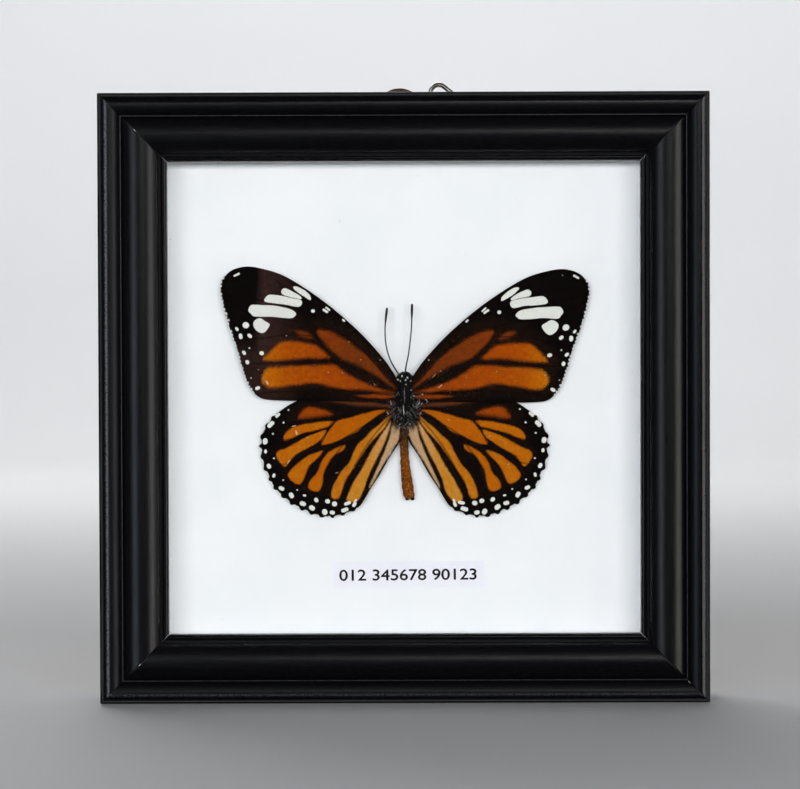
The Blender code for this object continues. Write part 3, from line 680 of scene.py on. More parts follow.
def place_piece(name, mesh, body, slot, *stands_for):
    """A piece that rides on a body, in place of the CAD nodes it stands for. The slot argument is not used.
    """
    piece = add_object(name, mesh)
    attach(piece, body)
    if stands_for:
        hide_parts(*stands_for)
    return piece


def new_piece(name, points, faces, body, slot, *stands_for):
    """The same from points in millimetres."""
    mesh = bpy.data.meshes.new(name)
    mesh.from_pydata([Vector(p) * MM for p in points], [], faces)
    mesh.validate()
    mesh.update()
    return place_piece(name, mesh, body, slot, *stands_for)


def set_fields(piece, **fields):
    for name, values in fields.items():
        field = piece.data.attributes.new(name, "FLOAT", "POINT")
        field.data.foreach_set("value", np.asarray(values, np.float32))


def smooth(piece, degrees):
    piece.data.shade_smooth()
    piece.data.set_sharp_from_angle(angle=math.radians(degrees))


def ring_faces(count, size):
    """Quads between rings of points laid one after the other."""
    return [
        (low + i, low + (i + 1) % size, low + size + (i + 1) % size, low + size + i)
        for low in range(0, (count - 1) * size, size) for i in range(size)
    ]


def closed_faces(count, size):
    """The same with a face over each end."""
    total = count * size
    return ring_faces(count, size) + [tuple(range(size)), tuple(range(total - 1, total - size - 1, -1))]


def outward(piece):
    bm = bmesh.new()
    bm.from_mesh(piece.data)
    bmesh.ops.recalc_face_normals(bm, faces=bm.faces)
    bm.to_mesh(piece.data)
    bm.free()


def coat(piece, material):
    piece.data.materials.clear()
    piece.data.materials.append(material)


# ---------------------------------------------------------------- frame

def crown(centre, half_width, radius, top, steps):
    """The arc of a bead's front, from its outer foot to its inner one."""
    edge = math.asin(half_width / radius)
    turns = [edge * (2 * i / steps - 1) for i in range(steps + 1)]
    return [(centre + radius * math.sin(t), top - radius * (1 - math.cos(t))) for t in turns]


def moulding_profile():
    """The section from the outer back corner over the front to the rebate. The paint ends at the
    lip's back edge: the last points and the back are bare wood."""
    bead = crown(**BEAD)
    torus = crown(**TORUS)
    bead_foot = bead[-1][1]
    torus_foot = torus[0][1]
    wall = [(0.12, 0.0), (0.0, 0.12), (0.0, 6.0), (0.0, 12.0), (0.0, bead_foot - 0.28),
            (0.06, bead_foot - 0.1), (0.22, bead_foot)]
    groove = [(4.4, bead_foot - 0.38), (4.5, bead_foot - 0.46), (4.6, bead_foot - 0.4)]
    fillet = [(4.68, bead_foot - 0.24), (FILLET_INSET, bead_foot - 0.2), (4.9, bead_foot - 0.22)]
    scoop = [(12.22, torus_foot - 0.2), (12.28, torus_foot - 0.7), (12.32, 15.4), (12.4, 15.26),
             (12.6, 15.22), (12.94, 15.2), (13.02, 15.24)]
    lip = [(inset, height - 0.02) for inset, height in crown(**LIP_BEAD)]
    lip += [(13.86, 15.16), (14.02, 15.02), (RAIL_WIDTH, 14.7), (RAIL_WIDTH, LIP_BACK + 0.1)]
    bare = [(RAIL_WIDTH - 0.1, LIP_BACK), (REBATE_INSET, LIP_BACK), (REBATE_INSET, 6.0),
            (REBATE_INSET, 0.1), (REBATE_INSET - 0.1, 0.0)]
    return wall + bead + groove + fillet + torus + scoop + lip + bare, len(bare)


def rail_marks(length):
    """Where the rings of a rail lie, as shares of its length: close together near the mitres."""
    ends = [0.0, 0.1, 0.24, 0.5, 0.9, 1.6]
    middle = [2.5 + i * (length - 5.0) / 46 for i in range(47)]
    marks = ends + middle + [length - e for e in reversed(ends)]
    return [m / length for m in marks]


# Chips in each rail's paint: how far along it, the inset and the radius.
CHIPS = {
    "top": ((118.6, 0.15, 0.7), (120.2, 0.1, 0.5), (88.0, 0.15, 0.5)),
    "left": ((118.0, 2.4, 0.35), (12.5, 4.6, 0.5), (60.0, 0.1, 0.5)),
    "bottom": ((20.0, 0.15, 0.6), (70.0, 4.7, 0.35), (110.0, 0.1, 0.6)),
    "right": ((14.0, 0.15, 0.6), (76.0, 12.8, 0.3), (104.0, 4.7, 0.4)),
}
# Bare slivers where a mitre's edge has splintered: how far along the rail, and the inset.
SLIVERS = {"top": ((119.1, 7.9),), "bottom": ((8.3, 8.3), (122.6, 4.4)), "left": (), "right": ()}
# Painted highlight lines along each rail's bead, where it would mirror the side lights: the inset, and how
# strong.
PAINTED_HIGHLIGHTS = {"top": (2.5, 0.12), "bottom": (2.0, 0.45), "left": (1.78, 1.0), "right": (1.2, 0.6)}
TURNS = {"bottom": 0.0, "left": math.pi / 2, "top": math.pi, "right": -math.pi / 2}


def near_end(from_end, reach):
    """1 at a rail's mitre, falling to 0 at a distance from it."""
    return max(0.0, 1 - from_end / reach)


def rail_wear_and_highlights(side, along, from_end, inset, height):
    """What the paint reads at a point of a rail: worn, bare, dull, and the painted highlight lines."""
    on_front = float(height > LIP_BACK + 1.0)
    chip = max(1 - math.hypot(along - a, 2 * (inset - i)) / r for a, i, r in CHIPS[side])
    mitre = 0.46 * near_end(from_end, 0.3) * on_front
    arris = 0.3 if inset < 0.25 and height > LIP_FRONT else 0.0
    # Painted highlight: pale lines along the bead's crest and along the fillet, where they would mirror the
    # side lights.
    crest, highlight_strength = PAINTED_HIGHLIGHTS[side]
    rubbed_and_highlight = max(0.4 * bell(inset, FILLET_INSET, 0.08), highlight_strength * bell(inset, crest, 0.24))
    handled = 0.2 * bell(inset, HANDLED_INSET, 0.5) + 0.1 * bell(inset, LIP_BEAD["centre"], 0.4)
    dusty = 0.16 * bell(inset, DUSTY_INSET, 0.7) + 0.36 * bell(inset, HOLLOW_INSET, 0.4)
    near_lip = max(0.0, min(1.0, (inset - LIP_EDGE_INSET) / 0.2)) * near_end(from_end, 0.16)
    sliver = max((1 - math.hypot(along - a, inset - i) / 0.6 for a, i in SLIVERS[side]), default=0.0)
    return {
        "wear": max(1.2 * chip, mitre + arris), "dull": dusty - handled * on_front,
        "bare": max(0.85 * near_lip, 1.5 * sliver * near_end(from_end, 0.5)) * on_front,
        "rubbed_and_highlight": rubbed_and_highlight * on_front,
    }


def rail_point(spin, seed, mark, inset, height):
    """A point of a rail in its place, with how far along it lies and how far from the mitre."""
    half = FRAME_SIDE / 2
    opening = max(0.0, (inset - OPENING_INSET) / (RAIL_WIDTH - OPENING_INSET))
    reach = half - inset - MITRE_OFFSET - (LIP_OPENING - MITRE_OFFSET) * opening ** 2
    x = reach * (2 * mark - 1)
    from_end = reach - abs(x)
    lift = 0.022 * noise.noise(((x + half) * 0.09, inset * 0.3, seed))
    rounded = 0.05 * near_end(from_end, 0.24) ** 2 if height > LIP_FRONT - 0.3 else 0.0
    sunk = min(lift, 0.0) - rounded if height > LIP_BACK + 1.0 else 0.0
    at = Vector((x, BACK_Y - height - sunk, inset - half))
    return Vector((0, 0, half)) + spin @ at, x + half, from_end


def add_rail(side):
    """One mitred length of moulding, drawn as the bottom rail and turned into its place."""
    profile, bare_count = moulding_profile()
    marks = rail_marks(FRAME_SIDE)
    spin = Matrix.Rotation(TURNS[side], 3, "Y")
    points, rows = [], []
    for mark in marks:
        for inset, height in profile:
            point, along, from_end = rail_point(spin, TURNS[side] * 9, mark, inset, height)
            points.append(point)
            rows.append(rail_wear_and_highlights(side, along, from_end, inset, height))
    size = len(profile)
    faces = closed_faces(len(marks), size)
    rail = new_piece(f"moulding_{side}", points, faces, "frame", "moulding", f"rail_{side}")
    axis = "x" if side in ("top", "bottom") else "z"
    rail.data.materials.append(black_paint(f"satin_black_{side}", axis))
    rail.data.materials.append(bare_wood(f"bare_wood_{side}", axis))
    for index, face in enumerate(rail.data.polygons):
        on_mitre = index >= len(faces) - 2
        face.material_index = int(on_mitre or index % size >= size - bare_count)
    set_fields(rail, **{name: [row[name] for row in rows] for name in rows[0]})
    outward(rail)
    smooth(rail, 32.0)
    return rail


def drill(piece, place, radius, depth):
    """Leaves a round hole that runs from the piece's back towards its front."""
    bm = bmesh.new()
    middle = Matrix.Translation(Vector(place) * MM) @ Matrix.Rotation(math.pi / 2, 4, "X")
    bmesh.ops.create_cone(bm, cap_ends=True, segments=32, radius1=radius * MM, radius2=radius * MM,
                          depth=2 * depth * MM, matrix=middle)
    cutter = add_object("drill", new_mesh("drill", bm))
    hole = piece.modifiers.new("hole", "BOOLEAN")
    hole.operation = "DIFFERENCE"
    hole.object = cutter
    bpy.context.view_layer.update()
    graph = bpy.context.evaluated_depsgraph_get()
    cut = bpy.data.meshes.new_from_object(piece.evaluated_get(graph))
    piece.modifiers.clear()
    piece.data = cut
    bpy.data.objects.remove(cutter)


def add_moulding():
    rails = {side: add_rail(side) for side in TURNS}
    low, high = node_size("hanger_screw")
    screw = (low + high) / 2
    drill(rails["top"], (screw.x, BACK_Y, screw.z), 1.3, BACK_Y - low.y + 0.3)


def finish_sheets():
    """The flat CAD pieces keep their shape and get their finish."""
    NODES["glass_pane"].visible_shadow = False
    glass = Finish("picture_glass", Base_Color=(0.985, 0.995, 0.99), Roughness=0.0, IOR=1.45,
                   Transmission_Weight=1.0)
    coat(NODES["glass_pane"], glass.material)
    coat(NODES["mounting_panel"], panel_card())
    coat(NODES["back_board"], hardboard())
    coat(NODES["label"], two_tone("label_paper", (5.0, 4.0, 0.7), (0.3, 0.75), (0.785, 0.795, 0.865),
                                  (0.84, 0.85, 0.915), 0.01, Roughness=0.8))
    edge = two_tone("spacer_board", (2.6, 3.0, 0.6, (0.1, 3.0, 0.1)), (0.35, 0.7),
                    (0.74, 0.76, 0.77), (0.86, 0.88, 0.9), 0.03, Roughness=0.85)
    dull = steel("cut_steel", (0.42, 0.41, 0.39), 0.2, 0.42)
    for side in TURNS:
        coat(NODES[f"spacer_{side}"], edge)
        coat(NODES[f"point_{side}"], dull)


def digits_mesh(width, height, spread):
    """The label's digits as a flat mesh of a given size, a little askew, in their place."""
    curve = bpy.data.curves.new("label_digits", "FONT")
    curve.body = "012 345678 90123"
    curve.align_x = "CENTER"
    text = add_object("label_digits", curve)
    bpy.context.view_layer.update()
    mesh = bpy.data.meshes.new_from_object(text)
    bpy.data.objects.remove(text)
    spots = np.array([v.co for v in mesh.vertices])
    low, high = spots.min(0), spots.max(0)
    tilt = math.radians(0.4)
    centre_x = (LABEL_LOW.x + LABEL_HIGH.x) / 2 - 0.25 - spread
    centre_z = (LABEL_LOW.z + LABEL_HIGH.z) / 2 - 0.05
    for vertex in mesh.vertices:
        x = ((vertex.co.x - low[0]) / (high[0] - low[0]) - 0.5) * width
        z = ((vertex.co.y - low[1]) / (high[1] - low[1]) - 0.5) * height
        place = (centre_x + x - z * tilt, LABEL_LOW.y - 0.005, centre_z + z + x * tilt)
        vertex.co = Vector(place) * MM
    return mesh


def add_digits():
    """Plain digits printed on the label. Shifted copies make their strokes thicker."""
    ink, spread = 0.015, 0.055
    digits = place_piece("label_digits", digits_mesh(29.0, 2.3, spread), "frame", "label")
    coat(digits, two_tone("printed_ink", (11.0, 2.0), (0.35, 0.8), (0.004, 0.004, 0.006),
                          (0.018, 0.018, 0.022), Roughness=0.6))
    for name, rise in (("spread_up", spread), ("spread_down", -spread)):
        wider = digits.modifiers.new(name, "ARRAY")
        wider.count = 2
        wider.use_relative_offset = False
        wider.use_constant_offset = True
        wider.constant_offset_displace = Vector((spread, 0, rise)) * MM
    raised = digits.modifiers.new("ink", "SOLIDIFY")
    raised.thickness = ink * MM
    raised.offset = 1.0


# ---------------------------------------------------------------- hanger

def refined(node, name, body, bevel):
    """A copy of a CAD node with its faces joined again and its edges rounded."""
    bm = bmesh.new()
    bm.from_mesh(NODES[node].data)
    bmesh.ops.remove_doubles(bm, verts=bm.verts, dist=1e-6)
    bmesh.ops.dissolve_limit(bm, angle_limit=math.radians(1), verts=bm.verts, edges=bm.edges)
    piece = place_piece(name, new_mesh(name, bm), body, "plated_steel", node)
    rounding = piece.modifiers.new("rounding", "BEVEL")
    rounding.width = bevel * MM
    rounding.segments = 3
    rounding.limit_method = "ANGLE"
    rounding.angle_limit = math.radians(38)
    rounding.use_clamp_overlap = True
    smooth(piece, 38)
    return piece


def add_hanger():
    plated = steel("nickel_plate", (0.82, 0.8, 0.75), 0.02, 0.13)
    # The strap's plate is coloured a dark red-brown as painted shade and a painted red-brown reflection;
    # its rust spots are its own.
    shaded_plate = steel("shaded_strap_plate", (0.17, 0.1, 0.085), 0.14, 0.24)
    coat(refined("hanger_strap", "strap_plate", "strap", 0.16), shaded_plate)
    coat(refined("hanger_screw", "screw_head", "frame", 0.1), plated)
    ring = NODES["hanger_ring"]
    weld = ring.modifiers.new("weld", "WELD")
    weld.merge_threshold = 1e-6
    rounder = ring.modifiers.new("rounder", "SUBSURF")
    rounder.levels = 1
    rounder.render_levels = 1
    swell = ring.modifiers.new("swell", "DISPLACE")
    swell.mid_level = 0.0
    swell.strength = RING_SWELL * MM
    ring.data.shade_smooth()
    coat(ring, plated)


# ---------------------------------------------------------------- wings

def along_line(points, ends):
    """How far each point lies from the first end, at 0, to the second, at 1, and past them."""
    start, end = (np.array(p) for p in ends)
    run = end - start
    return ((points - start) @ run) / (run @ run)


def teeth(edge, wing):
    """1 at the tip of each small tooth of a wing's edge, and 0 half way between two."""
    along = np.cumsum(np.linalg.norm(np.diff(edge, axis=0, prepend=edge[-1:]), axis=1))
    gap, _ = wing["teeth"]
    phase = along / gap + 0.25 * ripple(edge, 0.6 / gap, wing["seed"])
    return np.abs(np.cos(math.pi * phase)) ** 5


def wing_edge(wing):
    """The wing's outline with its teeth, and how much of a tooth each point is."""
    edge = evenly(spline(wing["outline"], 12, True), EDGE_SPACING, True)
    ahead = np.roll(edge, -1, axis=0)
    along = ahead - np.roll(edge, 1, axis=0)
    normal = np.stack((along[:, 1], -along[:, 0]), axis=1)
    normal /= np.linalg.norm(normal, axis=1)[:, None]
    normal *= math.copysign(1.0, np.sum(edge[:, 0] * ahead[:, 1] - ahead[:, 0] * edge[:, 1]))
    tooth = teeth(edge, wing)
    nibble = 0.17 * ripple(edge, 1.3, wing["seed"]) + 0.08 * ripple(edge, 3.4, wing["seed"] + 5)
    reach = margin_share(edge, wing) * (wing["teeth"][1] * (tooth - 0.3) + nibble)
    return edge + normal * reach[:, None], tooth


def margin_share(points, wing):
    """1 along the wing's outer margin, and 0 on its other sides."""
    start, end = (np.array(p) for p in wing["margin"])
    run = end - start
    t = along_line(points, wing["margin"])
    side = run[0] * (points[:, 1] - start[1]) - run[1] * (points[:, 0] - start[0])
    outer = 1 / (1 + np.exp(-side / np.linalg.norm(run) / 0.15))
    return outer * share(t * 12 + 0.5) * share((1 - t) * 12 + 0.5)


def wing_sheet(wing):
    """The points and triangles of a flat wing, with its outline and the outline's teeth."""
    edge, tooth = wing_edge(wing)
    low, high = edge.min(0), edge.max(0)
    rows = np.arange(low[1], high[1], WING_SPACING * math.sqrt(0.75))
    columns = np.arange(low[0], high[0], WING_SPACING)
    grid = np.concatenate([
        np.stack((columns + (row % 2) * WING_SPACING / 2, np.full(len(columns), up)), axis=1)
        for row, up in enumerate(rows)
    ])
    grid = grid[depth_in(grid, edge) > 0.55 * WING_SPACING]
    points = np.concatenate((edge, grid))
    border = [list(range(len(edge)))]
    spots, _, faces, *_ = delaunay_2d_cdt([Vector(p) for p in points], [], border, 1, 1e-7)
    return np.array(spots), faces, edge, tooth


def fringe_depth(wing, flat, edge, tooth):
    """How far inside the white fringe bits between the teeth of the outer margin."""
    to_edge = distance_to_path(flat, edge, True)
    fringe = np.full(len(flat), OUTSIDE)
    near = np.flatnonzero(to_edge < 0.35)
    gaps = np.linalg.norm(flat[near][:, None] - edge[None], axis=2)
    between = 1 - 2.2 * tooth[np.argmin(gaps, axis=1)]
    width = 0.13 * between + 0.08 * ripple(flat[near], 1.1, 2.0)
    fringe[near] = np.where(margin_share(flat[near], wing) > 0.5, width - to_edge[near], OUTSIDE)
    return fringe


def orange_fields(wing, drawn):
    """How far inside the orange patches each point lies, and the tone of the patches near it."""
    orange = np.full(len(drawn), OUTSIDE)
    weights = np.zeros(len(drawn))
    tones = np.zeros(len(drawn))
    for tone, softness, outline in wing["patches"]:
        depth = depth_in(drawn, spline(outline, 4, True))
        orange = np.maximum(orange, depth * 0.24 / softness)
        weight = np.exp(np.clip(depth, -3, 0.6) * 3)
        weights += weight
        tones += weight * tone
    return orange, tones / np.maximum(weights, 1e-9)


def wing_drawing(wing, flat, edge, tooth, name):
    """The fields that the wing's finish reads: depths in mm inside the marks, and shares."""
    side = SIDES[name]
    wobble = np.stack((ripple(flat, 0.35, wing["seed"] + side), ripple(flat, 0.35, side - 4.0)), axis=1)
    outwards = share(along_line(flat, ((6, 0), (18, 0))))[:, None]
    drawn = flat + 0.16 * wobble - np.array(wing["shift"][name]) * outwards
    orange, tone = orange_fields(wing, drawn)
    veins = [distance_to_path(flat, spline(route, 5)) for route in wing["veins"]]
    return {
        "orange": orange,
        "tone": tone + wing["drift"](flat) + 0.05 * streaks(flat, wing),
        "white": np.maximum(deepest(drawn, wing["bars"], wing["dots"]),
                            fringe_depth(wing, flat, edge, tooth)),
        "vein": np.min(veins, axis=0),
        "fleck": deepest(flat, (), wing["flecks"][name]),
        "root": share(1.25 - flat[:, 0] / 15),
    }


def streaks(flat, wing):
    """Smooth noise drawn out along the rows of scales, which run out from the wing's root."""
    arm = flat - np.array((0.0, wing["outline"][0][1]))
    turn, reach = np.arctan2(arm[:, 1], arm[:, 0]), np.hypot(arm[:, 0], arm[:, 1])
    return ripple(np.stack((turn * 46, reach * 0.35), axis=1), 1.0, wing["seed"])


def reflection_band(flat):
    """A painted reflection on the left forewing, brown over the black: a wide band, and its lower corner.
    """
    out, up = flat.T
    band = share((31.6 - 0.05 * (up - 20) - out) / 1.6) * share((out - 21.5) / 8)
    corner = share((14 - up) / 4) * share((out - 22) / 6)
    return np.maximum(band * np.clip(up / 14, 0.3, 1), 0.6 * corner)


def wing_relief(wing, flat, vein, side):
    """How far the front of the wing stands above its CAD plate's middle."""
    root, tip = wing["heights"]
    base = root + (tip - root) * flat[:, 0] / WING_REACH
    cockle = 0.14 * ripple(flat, 0.16, wing["seed"] * side) + 0.05 * ripple(flat, 0.5, side * 2.0)
    ribs = 0.07 * np.exp(-(vein / 0.16) ** 2)
    folds = 0.1 * np.cos(np.clip(vein, 0, 2.2) / 2.2 * math.pi)
    return base + cockle * share(flat[:, 0] / 8) + ribs + folds * 0.5


def turned_wing(wing, flat, name):
    """Turns a wing's flat points about its root into their setting."""
    turn = math.radians(wing["turn"][name])
    pivot = np.array(wing["outline"][0])
    arm = flat - pivot
    out = pivot[0] + arm[:, 0] * math.cos(turn) - arm[:, 1] * math.sin(turn)
    up = pivot[1] + arm[:, 1] * math.cos(turn) + arm[:, 0] * math.sin(turn)
    return out, up


def add_wing(kind, name, material):
    wing = WINGS[kind]
    side = SIDES[name]
    flat, faces, edge, tooth = wing_sheet(wing)
    fields = wing_drawing(wing, flat, edge, tooth, name)
    height = wing_relief(wing, flat, fields["vein"], side)
    out, up = turned_wing(wing, flat, name)
    points = np.stack((side * out, BACK_Y - height, BODY_Z + up), axis=1)
    sheet = new_piece(f"{kind}_scales_{name}", points, faces, "frame", kind, f"{kind}_{name}")
    # Only the left forewing carries the painted reflection.
    if (kind, name) == ("forewing", "left"):
        fields["painted_reflection"] = reflection_band(flat)
    set_fields(sheet, **fields)
    sheet.data.materials.append(material)
    if sum(face.normal.y for face in sheet.data.polygons) > 0:
        sheet.data.flip_normals()
    sheet.data.shade_smooth()
    skin = sheet.modifiers.new("membrane", "SOLIDIFY")
    skin.thickness = WING_THICKNESS * MM
    skin.offset = -1.0


def add_wings():
    fore = wing_scales("forewing_scales", (0.0014, 0.0007, 0.0006), 0.05, 0.6)
    hind = wing_scales("hindwing_scales", (0.0013, 0.0007, 0.0006), 0.035, 0.4)
    for name in SIDES:
        add_wing("forewing", name, fore)
        add_wing("hindwing", name, hind)


# ---------------------------------------------------------------- body

def loft(name, sections, slot, node, ripples=0.05, seed=1.0, bands=0.0, around=40):
    """A rounded piece through sections across the body's length, with a skin that isn't even."""
    path = evenly(spline(sections, 12), 0.16)
    points = []
    for up, centre, half_width, half_depth, height in path:
        swell = 1 + bands * math.cos(2 * math.pi * up / 1.75)
        for i in range(around):
            t = 2 * math.pi * i / around
            x, y = math.cos(t), math.sin(t)
            rough = ripples * noise.fractal((x * 1.6, y * 1.6, up * 1.3 + seed), 0.8, 2.0, 3)
            points.append((
                centre + (half_width * swell + rough) * x,
                BACK_Y - height - (half_depth * swell + rough) * y,
                BODY_Z + up,
            ))
    piece = new_piece(name, points, closed_faces(len(path), around), "frame", slot, node)
    outward(piece)
    smooth(piece, 70)
    return piece


def set_dots(piece, dots=()):
    """Marks the piece's front with round white tufts: (x, height above BODY_Z, radius)."""
    spots = np.array([v.co for v in piece.data.vertices]) / MM
    x, up = spots[:, 0], spots[:, 2] - BODY_Z
    white = np.full(len(spots), OUTSIDE)
    for dot_x, dot_up, radius in dots:
        white = np.maximum(white, radius - np.hypot(x - dot_x, up - dot_up))
    front = spots[:, 1] < np.median(spots[:, 1])
    set_fields(piece, white=np.where(front, white, OUTSIDE))


def set_dusk(piece):
    """Marks where the abdomen darkens: along its sides and towards the waist."""
    spots = np.array([v.co for v in piece.data.vertices]) / MM
    up = spots[:, 2] - BODY_Z
    from_middle = np.abs(spots[:, 0] - np.interp(up, (-18.6, -9.0), (0.82, -0.06)))
    waist = np.interp(up, (-12.5, -9.5, -7.5, -5.0), (0.0, 0.5, 0.8, 0.95))
    set_fields(piece, dusk=np.minimum(np.clip(from_middle - 0.65, 0, 0.4) + waist, 1))


HEAD_DOTS = (
    (-0.43, 5.93, 0.17), (0.66, 5.61, 0.18), (0.3, 5.12, 0.17), (1.5, 4.86, 0.24), (-1.3, 5.15, 0.15),
    (-0.75, 4.88, 0.12), (0.38, 4.2, 0.13),
)
THORAX_DOTS = ((2.0, 1.72, 0.2), (1.1, -4.1, 0.12), (-0.9, -4.25, 0.1), (1.35, 3.0, 0.08))


def add_ball(name, x, height, up, radii, detail, material, rough=0.0):
    """A small ellipsoid of the body, with an uneven skin where rough isn't 0."""
    bm = bmesh.new()
    place = Vector((x, BACK_Y - height, BODY_Z + up)) * MM
    shape = Matrix.LocRotScale(place, None, Vector(radii) * MM)
    bmesh.ops.create_icosphere(bm, subdivisions=detail, radius=1.0, matrix=shape)
    if rough:
        for vertex in bm.verts:
            vertex.co += vertex.normal * (rough * MM * noise.noise(vertex.co * 2500))
    mesh = new_mesh(name, bm)
    mesh.shade_smooth()
    ball = place_piece(name, mesh, "frame", "dark_body")
    coat(ball, material)
    return ball


def tube(name, points, radii, slot, material, degrees, *stands_for):
    """A round tube with closed ends."""
    sides, spots, count = 12, [], len(points)
    side_way = Vector((0, 1, 0))
    for i, (point, radius) in enumerate(zip(points, radii)):
        ahead = Vector(points[min(i + 1, count - 1)]) - Vector(points[max(i - 1, 0)])
        first = ahead.cross(side_way).normalized()
        second = first.cross(ahead).normalized()
        for k in range(sides):
            t = 2 * math.pi * k / sides
            spots.append(Vector(point) + radius * (math.cos(t) * first + math.sin(t) * second))
    piece = new_piece(name, spots, closed_faces(count, sides), "frame", slot, *stands_for)
    outward(piece)
    smooth(piece, degrees)
    coat(piece, material)
    return piece


def add_antenna(side, material):
    """A jointed shaft, a little thicker at each joint, that ends in a slim club."""
    route = evenly(spline(ANTENNA_ROUTES[side], 12), 0.1)
    points, radii = [], []
    last = len(route) - 1
    for i, (x, up, height) in enumerate(route):
        done = i / last
        club = 0.135 * math.sin(min(1.0, max(0.0, (done - 0.78) / 0.22)) * math.pi * 0.8)
        joint = 0.012 * abs(math.sin(i * math.pi / 4))
        points.append((x, BACK_Y - height, BODY_Z + up))
        radii.append((0.13 + 0.03 * (1 - done) ** 6 + club + joint) * (0.5 if i == last else 1))
    tube(f"feeler_{side}", points, radii, "antenna", material, 70, f"antenna_{side}")


def add_palp(name, side, material):
    """One of the two short palps that stick out in front of the head."""
    route = ((0.32, 6.0, 7.2), (0.4, 6.4, 7.2), (0.42, 6.7, 7.3), (0.4, 6.85, 7.5))
    points = [(0.15 + side * x, BACK_Y - height, BODY_Z + up) for x, up, height in route]
    palp = tube(f"palp_{name}", points, (0.3, 0.28, 0.2, 0.07), "dark_body", material, 80)
    set_dots(palp)


def strands(name, roots, slot, material, radius=0.022):
    """Tapered bent hairs in one mesh. A root is (place, direction, length, droop)."""
    sides, rings = 3, 4
    points, faces = [], []
    for place, direction, length, droop in roots:
        direction = Vector(direction).normalized()
        first = direction.orthogonal().normalized()
        second = direction.cross(first)
        base = len(points)
        for ring in range(rings):
            t = ring / (rings - 1)
            middle = Vector(place) + direction * (length * t) + Vector(droop) * (length * t * t)
            thick = radius * (1 - 0.8 * t)
            for k in range(sides):
                turn = 2 * math.pi * k / sides
                points.append(middle + thick * (math.cos(turn) * first + math.sin(turn) * second))
        faces += [tuple(base + i for i in face) for face in ring_faces(rings, sides)]
        last = base + (rings - 1) * sides
        faces += [(base + 2, base + 1, base), (last, last + 1, last + 2)]
    coat(new_piece(name, points, faces, "frame", slot), material)


def section_at(sections, up):
    """The body's section at a height, read between the given ones."""
    columns = np.array(sorted(sections)).T
    return [float(np.interp(up, columns[0], column)) for column in columns[1:]]


def coat_roots(rng, sections, span, count, reach, lean, spread):
    """Roots of hairs that lie over the front of a body piece and point towards its tail."""
    roots = []
    for _ in range(count):
        up = rng.uniform(*span)
        centre, half_width, half_depth, height = section_at(sections, up)
        t = rng.uniform(0.05, 0.95) * math.pi
        x, y = math.cos(t), math.sin(t)
        place = (centre + half_width * x, BACK_Y - height - half_depth * y, BODY_Z + up)
        direction = (x * 0.5 + rng.gauss(0, spread), -y * lean, -1 + rng.gauss(0, 0.25))
        roots.append((place, direction, rng.uniform(*reach), (rng.gauss(0, 0.15), 0.25 * y, -0.1)))
    return roots


def wing_base_roots(rng, count, reach, low, high):
    """Roots of hairs along the thorax's sides that lie out over the wings' bases."""
    roots = []
    for _ in range(count):
        side = rng.choice((-1, 1))
        up = rng.uniform(low, high)
        centre, half_width, _, height = section_at(THORAX_SECTIONS, up)
        lift = rng.uniform(0.2, 1.5)
        x = centre + side * half_width * rng.uniform(0.7, 0.98)
        direction = (side, -0.12 + rng.gauss(0, 0.12), 0.35 * up / 4 + rng.gauss(0, 0.35) - 0.1)
        roots.append(((x, BACK_Y - height - lift, BODY_Z + up), direction, rng.uniform(*reach),
                      (0.0, 0.12, rng.gauss(-0.1, 0.2))))
    return roots


def margin_roots(rng, count):
    """Roots of the pale hairs along the hindwings' inner margins, beside the abdomen."""
    route = spline(((2.0, -4.6), (1.7, -6.4), (2.4, -9.0), (3.6, -11.6)), 12)
    roots = []
    for _ in range(count):
        out, up = route[rng.randrange(len(route))]
        side = rng.choice((-1, 1))
        place = (side * (out + rng.uniform(0, 0.8)), BACK_Y - 8.15, BODY_Z + up)
        direction = (side * rng.gauss(-0.25, 0.35), -0.1 + rng.gauss(0, 0.1), -1.0)
        roots.append((place, direction, rng.uniform(0.4, 1.3), (0.0, 0.1, 0.0)))
    return roots


def tuft(rng, x, up, height, spread, towards, count, reach):
    """Roots of a small loose tuft of hairs round one spot of the body or the wings' bases."""
    roots = []
    for _ in range(count):
        place = (x + rng.gauss(0, spread), BACK_Y - height, BODY_Z + up + rng.gauss(0, spread))
        direction = [part + rng.gauss(0, 0.4) for part in towards]
        roots.append((place, direction, rng.uniform(*reach), (0.0, 0.15, rng.gauss(0, 0.25))))
    return roots


# Silver tufts: (x, height above BODY_Z, height off the back, spread, direction, count, length).
SILVER_TUFTS = (
    (2.9, -0.4, 9.9, 0.34, (0.6, -0.1, 0.7), 13, (0.5, 1.2)),
    (3.8, 2.1, 9.6, 0.1, (0.4, -0.1, -0.4), 5, (0.2, 0.4)),
    (-2.8, -0.1, 9.8, 0.12, (-0.1, -0.1, 0.6), 5, (0.2, 0.5)),
    (4.6, 0.8, 9.5, 0.3, (0.7, -0.1, -0.3), 5, (0.4, 0.9)),
    (-0.4, -4.0, 9.4, 0.5, (0.0, -0.3, -1.0), 10, (0.4, 0.9)),
)


